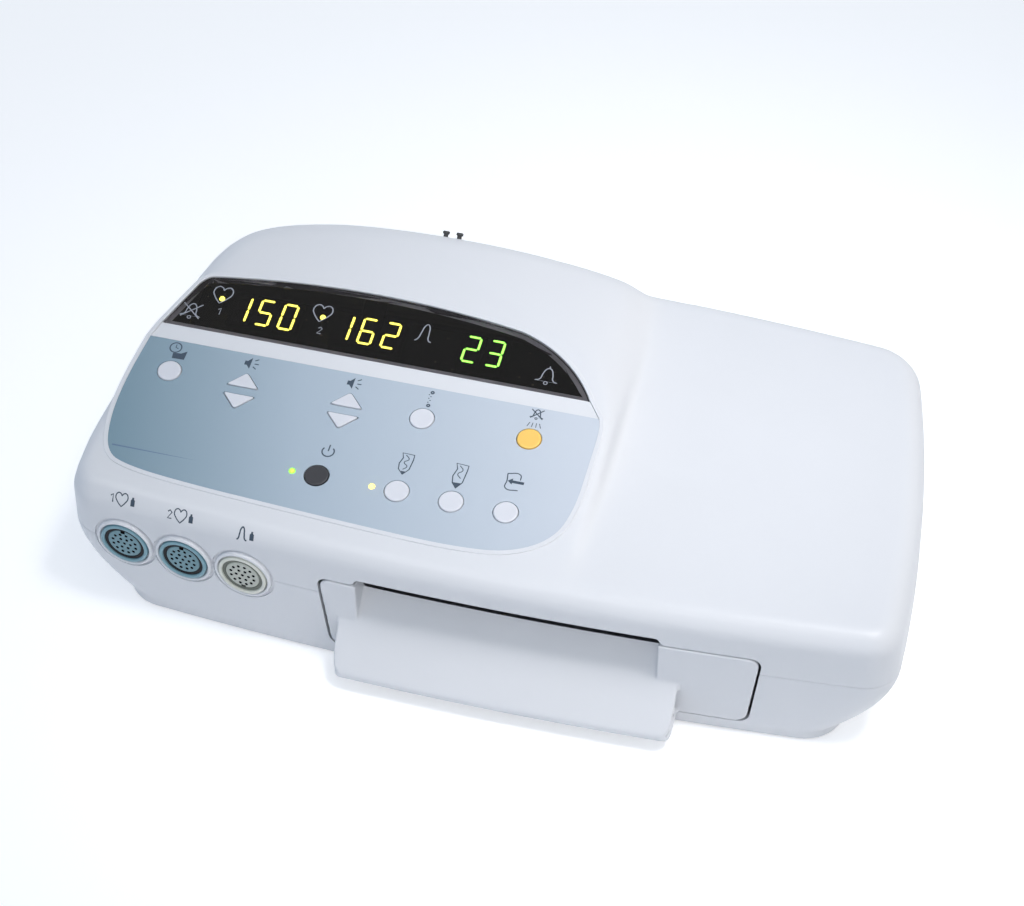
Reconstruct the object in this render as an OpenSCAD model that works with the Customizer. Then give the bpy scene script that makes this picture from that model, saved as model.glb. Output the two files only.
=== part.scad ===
// Fetal monitor: a desktop unit with three sensor sockets at the front left, a tilted control
// panel under a smoked display lens, and a chart recorder in a paper drawer at the front.
// Millimetres, +X to the right, -Y towards the user, +Z up. The origin is on the table under
// the middle of the whole unit.

/* [Housing] */
// Width of the housing at its widest, near the front
body_w = 428.5; // [420:0.5:440]
// Depth of the housing on its centre line, without the paper scoop
body_d = 228.5; // [222:0.5:240]
// Height of the joint line between cover and base above the table
part_z = 49; // [48:0.5:54]
// Height of the feet below the base
foot_h = 2; // [1.5:0.5:4]
// Height of the low right-hand top above the joint line
flat_h = 33; // [30:0.5:36]
// Rise of the low top between its edges and its middle
crown_h = 1.2; // [0.4:0.1:2]
// Height of the pod's rear crest above the joint line
crest_h = 56; // [54:0.5:60]
// Wall of cover and base
wall = 3; // [2.4:0.1:3.2]
// Radius of the front's bow in plan
front_bow_r = 2000; // [1600:50:2600]
// Radius of the back's bow in plan
back_bow_r = 1750; // [1400:50:2400]
// Radius of the sides' bow in plan
side_bow_r = 680; // [600:10:900]
// Distance from the front at which the sides are widest
widest_from_front = 40; // [30:1:50]
// Corner radius at the front
front_corner_r = 19; // [14:1:24]
// Corner radius at the back
back_corner_r = 30; // [22:1:40]
// Radius of the low top's rolled edge
flat_edge_r = 12; // [9:0.5:16]
// Radius of the pod's rolled edge round the panel
pod_edge_r = 9; // [6:0.5:11]
// Radius of the pod's rear edge
crest_edge_r = 20; // [16:1:24]
// How far the low top's walls lean in towards the top
cover_lean = 1; // [0.5:0.5:3]
// How far the pod's walls lean in towards the top
pod_lean = 2.5; // [1.5:0.5:4]
// How far the base's side walls slope in towards the plinth
base_side_slope = 21; // [16:1:24]
// How far the base's back wall slopes in towards the plinth
base_back_slope = 8; // [4:1:12]
// Height of the plinth at the foot of the base
plinth_h = 6; // [4:0.5:8]
// Step of the plinth inside the base's walls
plinth_step = 4; // [2:0.5:6]
// Gap between pieces that lie beside each other
fit_gap = 0.3; // [0.2:0.05:0.4]

/* [Panel] */
// Tilt of the control panel towards the user, in degrees
panel_tilt = 7.7; // [6:0.1:9]
// Height of the panel plane above the joint line at the overlay's front edge
panel_h = 33; // [31:0.5:36]
// Distance of the overlay's front edge behind the housing's front
panel_back = 20; // [18:0.5:24]
// Distance of the overlay's left end from the housing's widest place
overlay_in = 14.75; // [12:0.25:17]
// Right bulge of the overlay from the unit's centre line
overlay_right = 46; // [44:0.5:48]
// Depth of the overlay on the panel
overlay_d = 91.5; // [90:0.5:93]
// Thickness of the overlay
overlay_t = 0.8; // [0.5:0.1:1]
// Depth of the overlay's seat in the cover
overlay_seat = 1; // [0.8:0.1:1.2]
// Front edge of the lens on the panel
lens_front = 101.3; // [100:0.5:103]
// Rise of the lens above its front edge
lens_rise = 43; // [41:0.5:45]
// Distance of the lens' left end from the overlay's left end
lens_in = 2; // [1:0.5:4]
// Right corner of the lens from the unit's centre line
lens_right = 34.5; // [33:0.5:36]
// Thickness of the lens
lens_t = 1.8; // [1.5:0.1:2]
// Ledge that the lens lies on
lens_ledge = 3; // [2:0.5:4]
// Width of the slim raised rim round lens and overlay
rim_w = 2.4; // [1.6:0.2:3]
// Height of the raised rim
rim_h = 0.6; // [0.4:0.1:1]

/* [Keys] */
// Diameter of the round keys
key_d = 12.4; // [11.5:0.1:13]
// Travel of every key
key_travel = 0.8; // [0.6:0.1:1]
// Height of the key tops above the overlay
key_proud = 0.9; // [0.8:0.1:1.4]
// Gap round each key
key_gap = 0.4; // [0.3:0.05:0.5]
// Width of the retaining flange outside each key
key_flange = 1.4; // [1:0.1:1.8]
// Thickness of the retaining flange
key_flange_t = 1; // [0.8:0.1:1.2]
// Length of the stem under the flange
key_stem = 1.4; // [1:0.1:2]
// Diameter of the stem
key_stem_d = 4; // [3:0.5:5]
// Base of the triangular keys
tri_base = 17; // [16:0.5:18]
// Height of the triangular keys
tri_h = 9; // [8.5:0.5:9.5]
// Corner radius of the triangular keys
tri_r = 1; // [0.6:0.1:1.4]
// Row of keys nearest the lens, from the overlay's front edge
row_far = 71.5; // [70:0.5:73]
// Row of keys nearest the user, from the overlay's front edge
row_near = 25.4; // [24:0.5:27]
// Middle of the triangular pairs, from the overlay's front edge
tri_mid = 67.4; // [66:0.2:69]
// Gap between the two triangles of a pair
tri_apart = 5.2; // [4.6:0.2:6]
// Diameter of the small indicator lamps
lamp_d = 3.2; // [2.8:0.2:4]
// Distance of the clock key from the overlay's left end
clock_key_in = 16.6; // [15:0.1:20]
// Place of the first pair of volume keys
volume_1_x = -142.5; // [-145:0.5:-140]
// Place of the second pair of volume keys
volume_2_x = -86.5; // [-90:0.5:-84]
// Place of the power key
power_key_x = -88.3; // [-92:0.1:-84]
// Place of the zero key and of the record key below it
zero_key_x = -46.3; // [-48:0.1:-44]
// Distance between the three recorder keys
recorder_key_pitch = 28.2; // [27:0.1:29]
// Distance of each lamp to the left of its key
lamp_offset = 13; // [11:0.5:15]

/* [Sockets] */
// Distance between the sensor sockets
socket_pitch = 32.6; // [31:0.2:34]
// Distance of the left socket from the housing's widest place
socket_in = 32.75; // [31:0.25:35]
// Height of the socket centres above the joint line
socket_rise = -1; // [-2:0.5:0]
// Diameter of the socket flange
socket_d = 26; // [25:0.5:27]
// Bore of the socket flange
socket_bore = 21.6; // [21:0.2:22]
// Diameter of the pin insert
insert_d = 18.4; // [17.6:0.2:19]
// Diameter of the pale collar round each socket
collar_d = 31; // [30:0.5:31.4]
// Length of the socket barrel behind the flange
barrel_l = 18; // [14:1:22]
// Turn of the sockets towards the left, which follows the bow
socket_turn = 5; // [3:0.5:7]

/* [Recorder] */
// Width of the paper slot and of the drawer's recess
slot_w = 154; // [152:0.5:158]
// Centre of the slot from the unit's centre line
slot_x = 21.1; // [19:0.5:24]
// Height of the slot's upper edge above the joint line
slot_rise = 14.5; // [13.5:0.5:16]
// Height of the drawer front's upper edge above the joint line
drawer_top = 9.7; // [9:0.1:10.5]
// Depth of the drawer front's lower edge below the joint line
drawer_low = 39; // [38:0.5:40]
// Left end of the drawer front from the slot's left end
drawer_left = 19.4; // [18:0.2:21]
// Right end of the drawer front from the slot's right end
drawer_right = 50; // [48:0.5:52]
// How far each end of the drawer front slants in towards the bottom
drawer_slant = 4.6; // [3:0.2:6]
// Gap at the ends of the drawer front
drawer_end_gap = 1.2; // [0.8:0.1:1.5]
// Gap above and below the drawer front
drawer_gap = 0.5; // [0.4:0.1:0.8]
// Corner radius of the drawer front
drawer_corner_r = 6; // [4:0.5:8]
// Thickness of the drawer's mouldings
drawer_t = 2.6; // [2.2:0.1:3]
// How far the scoop reaches in front of the housing
scoop_reach = 19.3; // [17:0.5:22]
// How far the scoop reaches past each end of the recess
scoop_wing = 11; // [9:0.5:12]
// Height of the scoop's lip below the joint line
scoop_low = 38.5; // [37:0.5:40]
// Radius of the scoop's lip
scoop_lip_r = 4; // [3:0.5:4.5]
// Height below the joint line at which the ramp leaves the drawer's face
ramp_out = 15.8; // [14:0.2:17]
// Depth of the ramp's rear edge behind the face
ramp_in = 12; // [10:0.5:13]
// Travel of the paper drawer
drawer_travel = 75; // [60:1:76]
// Length of the fan-folded pack of chart paper that the tray takes
pack_l = 90; // [86:1:92]
// Wall of the paper tray
tray_t = 2; // [1.6:0.1:2.4]
// Height of the tray's walls
tray_h = 27; // [24:0.5:28]
// Outer diameter of the rubber platen roller
platen_d = 13; // [12:0.5:14]
// Diameter of the platen's steel shaft
platen_shaft_d = 5; // [4:0.5:6]
// Running clearance of the shafts, on the radius
run_gap = 0.05; // [0.03:0.01:0.08]
// Gear module of the paper feed
gear_m = 0.8; // [0.6:0.1:0.9]
// Teeth of the platen gear
platen_teeth = 20; // [18:1:24]
// Teeth of the idler gear
idler_teeth = 25; // [22:1:28]
// Teeth of the motor pinion
pinion_teeth = 14; // [14:1:16]
// Width of the gears
gear_w = 5; // [4:0.5:6]

/* [Rear and underside] */
// Width of the rear connector plate
rear_plate_w = 270; // [264:2:276]
// Height of the rear connector plate
rear_plate_h = 32; // [31:0.5:33]
// Depth of the rear plate behind the lowest edge of the back
rear_recess = 8; // [7:0.5:10]
// Thickness of the rear connector plate
rear_plate_t = 1.5; // [1.2:0.1:2]
// Distance between the bracket inserts across the unit
bracket_x = 150; // [140:5:160]
// Distance between the bracket inserts from front to back
bracket_y = 75; // [70:5:80]
// Thread bore of the bracket inserts
bracket_bore = 4.2; // [4:0.1:4.4]
// Diameter of the feet
foot_d = 16; // [14:1:18]
// Diameter of the loudspeaker
speaker_d = 57; // [50:1:60]

/* [Hidden] */
$fn = 48;
board_t = 1.6;

// Housing
y_front = (scoop_reach - body_d) / 2;
y_back = y_front + body_d;
front_c = [0, y_front + front_bow_r];
back_c = [0, y_back - back_bow_r];
side_c = [body_w / 2 - side_bow_r, y_front + widest_from_front];
base_floor_z = foot_h + wall;
flat_z = part_z + flat_h;
crest_z = part_z + crest_h;

// Panel
overlay_left = overlay_in - body_w / 2;
lens_left = overlay_left + lens_in;
clock_key_x = overlay_left + clock_key_in;
panel_y = y_front + panel_back;
panel_z = part_z + panel_h;
overlay_corner_r = 26;
overlay_sweep_r = 38;
overlay_end_r = 60;
overlay_bow_r = 1100;
overlay_low_x = -107;
overlay_dip = 2.6;
lens_end_r = 76;
lens_end_drop = 37;
lens_bow_r = 495;
lens_mid_x = -94;
lens_corner_r = 12;
lens_slant = 20;
lens_end_c = [lens_right - sqrt(pow(lens_end_r, 2) - pow(lens_end_drop, 2)),
              lens_front - lens_end_drop];
deck_w = -overlay_seat - 2;
flange_top_w = deck_w - fit_gap;
stem_w = flange_top_w - key_flange_t - key_stem;
switch_top_w = stem_w - key_travel - 0.1;
keypad_w = switch_top_w - 3.6;
display_w = -12;
digit_h = 8;
digit_w = 12.6;
digit_l = 20;
bar_x = 3.5;
bar_y = 8.1;
pod_valley_x = 50.8;
low_top_x = -20;
pod_rear_v = 150;
post_d = 6;
panel_posts = [[overlay_left + 34.5, 48], [-115, 62], [-66, 60], [-18, 48], [28, 48]];
display_edge_v = lens_front - 8;
display_posts = [[lens_left + 17.5, display_edge_v + 4], [-120, display_edge_v + 4],
                 [-60, display_edge_v + 4], [10, display_edge_v + 4],
                 [lens_mid_x, lens_front + lens_rise + 4]];

key_top_h = key_proud - overlay_seat + overlay_t - flange_top_w + key_flange_t / 2;
// Keys as [node name, shape, place across, place back, which way a triangle points]
keys = [
  ["clock_key", "round", clock_key_x, row_far],
  ["volume_1_up_key", "up", volume_1_x, tri_mid + tri_apart / 2],
  ["volume_1_down_key", "down", volume_1_x, tri_mid - tri_apart / 2],
  ["volume_2_up_key", "up", volume_2_x, tri_mid + tri_apart / 2],
  ["volume_2_down_key", "down", volume_2_x, tri_mid - tri_apart / 2],
  ["zero_key", "round", zero_key_x, row_far],
  ["silence_key", "round", zero_key_x + 2 * recorder_key_pitch, row_far],
  ["power_key", "round", power_key_x, row_near],
  ["record_key", "round", zero_key_x, row_near],
  ["mark_key", "round", zero_key_x + recorder_key_pitch, row_near],
  ["paper_feed_key", "round", zero_key_x + 2 * recorder_key_pitch, row_near]
];
lamps = [[power_key_x - lamp_offset, row_near], [zero_key_x - lamp_offset, row_near]];
heart_in = 24.3;
// Middles of the rows of figures and of the second heart, as shares of the lens's width
row_shares = [0.21595, 0.45948, 0.73017];
heart_share = 0.34698;
function lens_x(share) = lens_left + share * (lens_right - lens_left);
hearts = [[lens_left + heart_in, 126.9], [lens_x(heart_share), 126.8]];

// Sockets
socket_left = socket_in - body_w / 2;
socket_z = part_z + socket_rise;
socket_xs = [for (i = [0:2]) socket_left + i * socket_pitch];
spot_d = 34;
spot_in = 1.6;
flange_t = 3;
socket_barrel_d = socket_d - 2.6;

// Recorder
slot_l = slot_x - slot_w / 2;
slot_r = slot_x + slot_w / 2;
door_l = slot_l - drawer_left;
door_r = slot_r + drawer_right;
door_z0 = part_z - drawer_low;
door_z1 = part_z + drawer_top;
ramp_z = part_z - ramp_out;
lip_c = [scoop_reach - scoop_lip_r, part_z - scoop_low];
ramp_turn = atan2(lip_c[1] - ramp_z, lip_c[0])
            + asin(scoop_lip_r / norm(lip_c - [0, ramp_z]));
ramp_fall = -tan(ramp_turn);
tray_z = door_z0 + 1.4;
tray_y0 = y_front + ramp_in + 5;
tray_x0 = slot_l - tray_t;
tray_x1 = slot_r + tray_t;
tray_l = pack_l + 2 * tray_t;
rail_t = 3;
rail_foot = 9;
lug_d = 4;
lug_p = [tray_y0 + tray_l - 10, tray_z + 6];
frame_t = 3;
frame_gap = 8;
frame_x0 = tray_x0 - frame_gap;
frame_x1 = tray_x1 + frame_gap;
frame_y0 = y_front + ramp_in + 2;
frame_d = 36;
frame_z1 = part_z + 19;
platen_y = y_front + 25;
platen_z = part_z + 2;
gear_x = frame_x1 + frame_t + 1;
platen_p = [platen_y, platen_z];
idler_turn = -24;
idler_p = platen_p + gear_m * (platen_teeth + idler_teeth) / 2 * [cos(idler_turn), sin(idler_turn)];
pinion_turn = -40;
pinion_p = idler_p + gear_m * (idler_teeth + pinion_teeth) / 2
                     * [cos(pinion_turn), sin(pinion_turn)];
idler_phase = idler_turn + 180 + 180 / idler_teeth;
pinion_phase = pinion_turn + 180 + 180 / pinion_teeth
               - (idler_phase - pinion_turn) * idler_teeth / pinion_teeth;
stub_d = 4;
motor_shaft_d = 3;
motor_x = gear_x + gear_w + 1;
motor_d = 35;
motor_l = 22;
motor_plate_y0 = pinion_p[0] - motor_d / 2;
motor_plate_y1 = pinion_p[0] + motor_d / 2 + 8;
motor_boss_d = 10;
spring_z = platen_z + platen_d / 2 + 6.2;
scoop_off = 0.8;
face_steps = 13;
face_reach = 160;

// Rear and underside
rear_y = y_back - base_back_slope - rear_recess;
rear_z = foot_h + 6.5;
fuse_in = 8;
fuse_x = rear_plate_w / 2 - fuse_in;
inlet_in = 31;
inlet_x = rear_plate_w / 2 - inlet_in;
inlet_z = rear_z + rear_plate_h / 2;
inlet_w = 27.5;
inlet_h = 20;
fuse_d = 11;
fuse_zs = [inlet_z - 7.5, inlet_z + 7.5];
port_pitch = 38;
port_xs = [for (i = [0:2]) inlet_in - rear_plate_w / 2 + i * port_pitch];
port_w = 19;
port_h = 11;
stud_x = inlet_x - 28;
stud_base_d = 8;
screw_in = 42.25;
screw_x = body_w / 2 - screw_in;
screw_back = y_back - 27.9;
screw_places = [[-screw_x, y_front + 64.6], [12 - screw_x, screw_back], [0, rear_y - 10.9],
                [screw_x - 12, screw_back], [screw_x, y_front + 64.6], [screw_x - 7, y_front + 34.6]];
screw_post_d = 11;
screw_head_z = foot_h + 16;
screw_d = 3.6;
foot_in = 64.25;
foot_x = body_w / 2 - foot_in;
foot_places = [[-foot_x, y_front + 27], [foot_x - 15, y_front + 27],
               [-foot_x, y_back - 43.9], [foot_x, y_back - 43.9]];
board_z = base_floor_z + 8;
standoff_d = 7;
board_screw_d = 2.6;
board_in = 64.25;
main_x0 = board_in - body_w / 2;
main_y0 = 14;
main_d = 76;
power_in = 114.25;
power_x0 = body_w / 2 - power_in;
board_apart = 25;
main_w = power_x0 - board_apart - main_x0;
power_y0 = 12;
power_w = 68;
power_d = 72;
foot_seat = 1.2;
screw_head_d = 7;
insert_od = 7;
bracket_h = 7.5;
bracket_places = [for (x = [-1, 1]) for (y = [-1, 1]) [x * bracket_x / 2, y * bracket_y / 2]];
main_holes = [for (x = [6, main_w - 6]) for (y = [6, main_d - 6]) [main_x0 + x, main_y0 + y]];
power_holes = [for (x = [5, power_w - 5]) for (y = [5, power_d - 5])
  [power_x0 + x, power_y0 + y]];
board_places = concat(main_holes, power_holes);
speaker_in = 76.25;
speaker_p = [speaker_in - body_w / 2, -34];
speaker_h = 18;
peg_xs = [-70.5, -63];
peg_d = 2.6;
peg_up = 42;
// Shares of the base's depth and, at each, of its slope inwards
base_levels = [[0, 0], [0.35, 0.14], [0.72, 0.52], [1, 1]];
base_front_slope = 2;

white = [0.90, 0.91, 0.94];
panel_grey = [0.66, 0.74, 0.80];
key_white = [0.88, 0.88, 0.91];
board_green = [0.10, 0.36, 0.22];
steel = [0.72, 0.73, 0.75];
dark = [0.10, 0.10, 0.12];
teal = [0.36, 0.52, 0.60];
ivory = [0.90, 0.90, 0.84];

// Points along an arc round c
function arc(c, r, a0, a1, n) =
  [for (i = [0:n]) c + r * [cos(a0 + (a1 - a0) * i / n), sin(a0 + (a1 - a0) * i / n)]];

// Where a circle round a and one round b cross, to the left of the way from a to b
function cross_pt(a, ra, b, rb) =
  let (d = norm(b - a), m = (d * d + ra * ra - rb * rb) / (2 * d), u = (b - a) / d)
  a + m * u + sqrt(ra * ra - m * m) * [-u[1], u[0]];

function turn_to(a, b) = atan2(b[1] - a[1], b[0] - a[0]);

// Right half of the housing's outline, from the middle of the front to the middle of the back,
// drawn in from the full size by f at the front, s at the side and b at the back
function half_outline(f, s, b, rf, rb) =
  let (fr = front_bow_r - f, sr = side_bow_r - s, br = back_bow_r - b,
       c1 = cross_pt(front_c, fr - rf, side_c, sr - rf),
       c2 = cross_pt(side_c, sr - rb, back_c, br - rb),
       a1 = turn_to(front_c, c1), a2 = turn_to(side_c, c1),
       a3 = turn_to(side_c, c2), a4 = turn_to(back_c, c2))
  concat(arc(front_c, fr, -90, a1, 5), arc(c1, rf, a1, a2, 6), arc(side_c, sr, a2, a3, 4),
         arc(c2, rb, a3, a4, 6), arc(back_c, br, a4, 90, 5));

function outline(f, s, b, rf, rb) =
  let (h = half_outline(f, s, b, rf, rb), n = len(h))
  concat(h, [for (i = [n - 2:-1:1]) [-h[i][0], h[i][1]]]);

// Outline drawn in evenly by d
function ring(d) = outline(d, d, d, max(front_corner_r - d, 4), max(back_corner_r - d, 6));

function face_y(x) = front_c[1] - sqrt(pow(front_bow_r, 2) - x * x);

// How far a key's stem stands behind the key's place: in the middle of a triangle
function stem_off(k) = k[1] == "up" ? tri_h / 3 : k[1] == "down" ? -tri_h / 3 : 0;

module plate(pts, z, h = 0.1) translate([0, 0, z]) linear_extrude(h) polygon(pts);

// Places children on the tilted panel, w above its plane
module on_panel(u = 0, v = 0, w = 0)
  translate([0, panel_y, panel_z]) rotate([panel_tilt, 0, 0]) translate([u, v, w]) children();

// Places children on the axis of a socket, +Z pointing out of it
module on_socket(i, w = 0)
  translate([socket_xs[i], face_y(socket_xs[i]), socket_z]) rotate([90, 0, -socket_turn])
    translate([0, 0, w]) children();

// Extrudes an outline in Y and Z along X
module along_x(x0, x1) translate([x0, 0, 0]) rotate([90, 0, 90]) linear_extrude(x1 - x0) children();

// Extrudes an outline in X and Z from y0 back to y1
module along_y(y0, y1) translate([0, y1, 0]) rotate([90, 0, 0]) linear_extrude(y1 - y0) children();

// Outlines on the panel
function overlay_front(x) = (pow(x - overlay_low_x, 2) / overlay_bow_r) / 2 - overlay_dip;
module overlay_outline()
  polygon(concat(
    [[overlay_left, overlay_d]],
    arc([overlay_left + overlay_corner_r,
         overlay_front(overlay_left + overlay_corner_r) + overlay_corner_r],
        overlay_corner_r, 180, 266, 10),
    [for (x = [overlay_left + overlay_corner_r + 13.5:20:-20]) [x, overlay_front(x)]],
    arc([overlay_right - overlay_sweep_r - 1, overlay_sweep_r + 3], overlay_sweep_r, -88, 0, 12),
    arc([overlay_right - overlay_end_r, overlay_d - 21.5], overlay_end_r, 0, 21, 5)));

module lens_outline()
  intersection() {
    translate([-body_w, lens_front]) square([2 * body_w, lens_rise + 1]);
    offset(r = lens_corner_r) offset(delta = -lens_corner_r) intersection() {
      translate([lens_mid_x, lens_front + lens_rise - lens_bow_r])
        circle(r = lens_bow_r, $fn = 360);
      union() {
        translate(lens_end_c) circle(r = lens_end_r, $fn = 96);
        translate([-body_w, -lens_end_r]) square([body_w + lens_end_c[0], 4 * lens_end_r]);
      }
      translate([lens_left, lens_front]) rotate(-lens_slant)
        translate([0, -lens_end_r]) square([2 * body_w, 4 * lens_end_r]);
    }
  }

module face_outline()
  union() {
    overlay_outline();
    lens_outline();
    polygon([[overlay_left, overlay_d - 1], [overlay_right - 4, overlay_d - 1],
             [lens_right, lens_front + 1], [lens_left, lens_front + 1]]);
  }

module key_outline(k, grow = 0)
  if (k[1] == "round") circle(d = key_d + 2 * grow);
  else offset(r = tri_r + grow) offset(delta = -tri_r)
    polygon(k[1] == "up" ? [[-tri_base / 2, 0], [tri_base / 2, 0], [0, tri_h]]
                         : [[-tri_base / 2, 0], [0, -tri_h], [tri_base / 2, 0]]);

// Solid inside the cover's skin, drawn in by t: the low crowned top joined to the raised pod,
// with its rolled edges in steps of so many degrees
module cover_solid(t, step = 45) {
  r = flat_edge_r - t;
  hull() {
    side_slab(t, low_top_x, body_w, part_z - (t > 0 ? 1 : 0));
    for (a = [0:step:90])
      side_slab(t + cover_lean + r * (1 - cos(a)), low_top_x, body_w,
                flat_z - crown_h - t - r + r * sin(a) - 0.1);
    side_slab(70, low_top_x, body_w, flat_z - t - 0.1);
  }
  q = pod_edge_r - t;
  hull() {
    side_slab(t + 0.3, -body_w, pod_valley_x - t, part_z - (t > 0 ? 1 : 0));
    side_slab(t + pod_lean + 7, -body_w, pod_valley_x - t, flat_z - 4 - t);
    for (a = [0:step:90])
      on_panel(w = -t - q + q * sin(a) - 0.1) linear_extrude(0.1)
        pod_outline(t + pod_lean + q * (1 - cos(a)), t + 2.5 * (1 - cos(a)));
    for (c = crest_balls) translate([c[0], c[1], crest_z - c[2] - crest_edge_r])
      sphere(r = crest_edge_r - t, $fn = 720 / step);
  }
}

// Slice of the outline, drawn in by d, between two places across the unit
module side_slab(d, x0, x1, z)
  translate([0, 0, z]) linear_extrude(0.1) intersection() {
    polygon(ring(d));
    translate([x0, -body_d]) square([x1 - x0, 2 * body_d]);
  }

// Top of the pod on the panel plane: the housing's outline drawn in by d, which turns in a little
// more along the left, cut off at the crest and at the right shoulder, which is drawn in by s
module pod_outline(d, s)
  intersection() {
    scale([1, 1 / cos(panel_tilt)]) translate([0, -panel_y]) polygon(ring(d));
    offset(delta = -d) polygon(concat([[-body_w, -60]], [for (p = pod_left) p - [body_w / 2, 0]],
      [[body_w, 159], [body_w, -60]]));
    offset(delta = -s) polygon([[-body_w, -60], [50.5, -60], [52, 10], [52, 80], [48.5, 96],
      [41, 114], [30, 132], [10, 142], [-20, 148], [-body_w, 148]]);
  }
// Left edge of the pod, from the housing's widest place
pod_left = [[-1.75, 0], [1.75, 50], [11.25, 99], [17.75, 131], [28.25, 148], [54.25, 159]];
// Round balls that carry the pod's rear edge, as [x, y, depth below the crest's height]
function crest_y(x) = back_c[1] + sqrt(pow(back_bow_r, 2) - x * x) - crest_edge_r - pod_lean;
crest_left = 39.25 - body_w / 2;
crest_balls = [
  [crest_left, crest_y(crest_left) - 36, 4], [crest_left + 5, crest_y(crest_left + 5) - 18, 2.7],
  [crest_left + 15, crest_y(crest_left + 15) - 7, 2], [-125, crest_y(-125), 1],
  [-85, crest_y(-85), 0], [-45, crest_y(-45), 1.2],
  [-8, crest_y(-8), 4.6], [12, crest_y(12), 7.6], [25, crest_y(25), 10.6]
];

// Corners of a closed outline rounded by r
function rounded(p, r, n = 5) = [for (i = [0:len(p) - 1])
  let (a = p[(i + len(p) - 1) % len(p)], b = p[i], c = p[(i + 1) % len(p)],
       u = (a - b) / norm(a - b), v = (c - b) / norm(c - b), h = acos(u * v) / 2,
       o = b + (u + v) / norm(u + v) * r / sin(h),
       a0 = turn_to(o, b + u * r / tan(h)), a1 = turn_to(o, b + v * r / tan(h)),
       d = a1 - a0 > 180 ? a1 - a0 - 360 : a1 - a0 < -180 ? a1 - a0 + 360 : a1 - a0)
  each arc(o, r, a0, a0 + d, n)];

// Sweeps an outline along the bowed face. The outline gives depth in front of the face and
// height, and runs clockwise. The facets of all sweeps share their corners, so that faces of the
// same depth lie in the same planes.
module along_face(pts, x0, x1) {
  count = len(pts);
  corners = [for (i = [0:face_steps]) -face_reach + 2 * face_reach * i / face_steps];
  intersection() {
    polyhedron(
      [for (x = corners) let (a = asin(x / front_bow_r)) for (p = pts)
        [(front_bow_r + p[0]) * sin(a), front_c[1] - (front_bow_r + p[0]) * cos(a), p[1]]],
      concat([[for (k = [0:count - 1]) k]],
        [[for (k = [1:count]) (face_steps + 1) * count - k]],
        [for (i = [0:face_steps - 1]) for (k = [0:count - 1]) let (n = (k + 1) % count)
          [i * count + k, (i + 1) * count + k, (i + 1) * count + n, i * count + n]]));
    translate([x0, y_front - 100, -50]) cube([x1 - x0, 200, 200]);
  }
}

module pipe(r, bore_r, h) difference() {
  cylinder(r = r, h = h);
  translate([0, 0, -1]) cylinder(r = bore_r, h = h + 2);
}

// Opening for the drawer's front and the paper slot above it
module drawer_cut()
  along_y(y_front - scoop_reach, y_front + wall + 12) {
    polygon(door_pts(drawer_end_gap, drawer_gap));
    polygon([[slot_l, part_z - 10], [slot_r, part_z - 10],
             [slot_r, part_z + slot_rise], [slot_l, part_z + slot_rise]]);
  }
function door_pts(e, g) = rounded([
  [door_l - e, door_z1 + g], [door_l + drawer_slant - e, door_z0 - g],
  [door_r - drawer_slant + e, door_z0 - g], [door_r + e, door_z1 + g]], drawer_corner_r + g);

// Spot-faces and holes for the sockets, cut into cover and base alike
module socket_cuts()
  for (i = [0:2]) {
    on_socket(i, -spot_in) cylinder(d = spot_d, h = 20);
    on_socket(i, -40) cylinder(d = socket_barrel_d + 2 * fit_gap, h = 60);
  }
module socket_backs() for (i = [0:2]) on_socket(i, -spot_in - 4)
  cylinder(d = spot_d + 5, h = 20);

// Base
function base_ring(k, t) = outline(base_front_slope * k + t, base_side_slope * k + t,
  base_back_slope * k + t, max(front_corner_r + 6 * k - t, 4), max(back_corner_r - t, 6));
module base_solid(t) {
  low = foot_h + plinth_h;
  hull() for (l = base_levels)
    plate(base_ring(l[1], t), part_z - 0.1 - l[0] * (part_z - 0.1 - low));
  translate([0, 0, foot_h + t]) linear_extrude(plinth_h + 1)
    polygon(base_ring(1, t + plinth_step));
}
module base_shell() color(white) difference() {
  union() {
    difference() {
      base_solid(0);
      base_solid(wall);
      translate([0, 0, part_z - 0.2]) linear_extrude(1) polygon(ring(wall));
    }
    intersection() {
      base_solid(0);
      union() {
        socket_backs();
        for (p = screw_places) translate([p[0], p[1], foot_h])
          cylinder(d = screw_post_d, h = part_z);
        translate([-rear_plate_w / 2 - wall, rear_y - wall, foot_h])
          cube([rear_plate_w + 2 * wall, 60, rear_z + rear_plate_h + wall - foot_h]);
      }
    }
    for (p = board_places) translate([p[0], p[1], foot_h + 1])
      cylinder(d = standoff_d, h = board_z - foot_h - 1);
    for (p = bracket_places) translate([p[0], p[1], foot_h]) cylinder(d = 12, h = bracket_h);
    translate([speaker_p[0], speaker_p[1], foot_h])
      pipe(speaker_d / 2 + 2, speaker_d / 2 + fit_gap, wall + 4);
  }
  translate([0, 0, part_z]) linear_extrude(50) square(2 * body_w, center = true);
  drawer_cut();
  socket_cuts();
  translate([-rear_plate_w / 2, rear_y - wall - 1, rear_z]) cube([rear_plate_w, 60, rear_plate_h]);
  for (p = screw_places) translate([p[0], p[1], 0]) {
    cylinder(d = screw_d + 0.6, h = part_z + 1);
    cylinder(d = screw_head_d + 1, h = screw_head_z);
  }
  for (p = board_places) translate([p[0], p[1], board_z - 6]) cylinder(d = board_screw_d, h = 7);
  for (p = bracket_places) translate([p[0], p[1], 0])
    cylinder(d = insert_od + 0.2, h = foot_h + bracket_h - 1);
  for (p = foot_places) translate([p[0], p[1], foot_h - 1])
    cylinder(d = foot_d + 2 * fit_gap, h = 1 + foot_seat);
  for (i = [-4:4])
    translate([speaker_p[0] + i * 5.4 - 1.2, speaker_p[1] - grille_half(i), foot_h - 1])
      cube([2.4, 2 * grille_half(i), wall + 2]);
}
function grille_half(i) = sqrt(pow(speaker_d / 2 - 3, 2) - pow(i * 5.4, 2));

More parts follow.
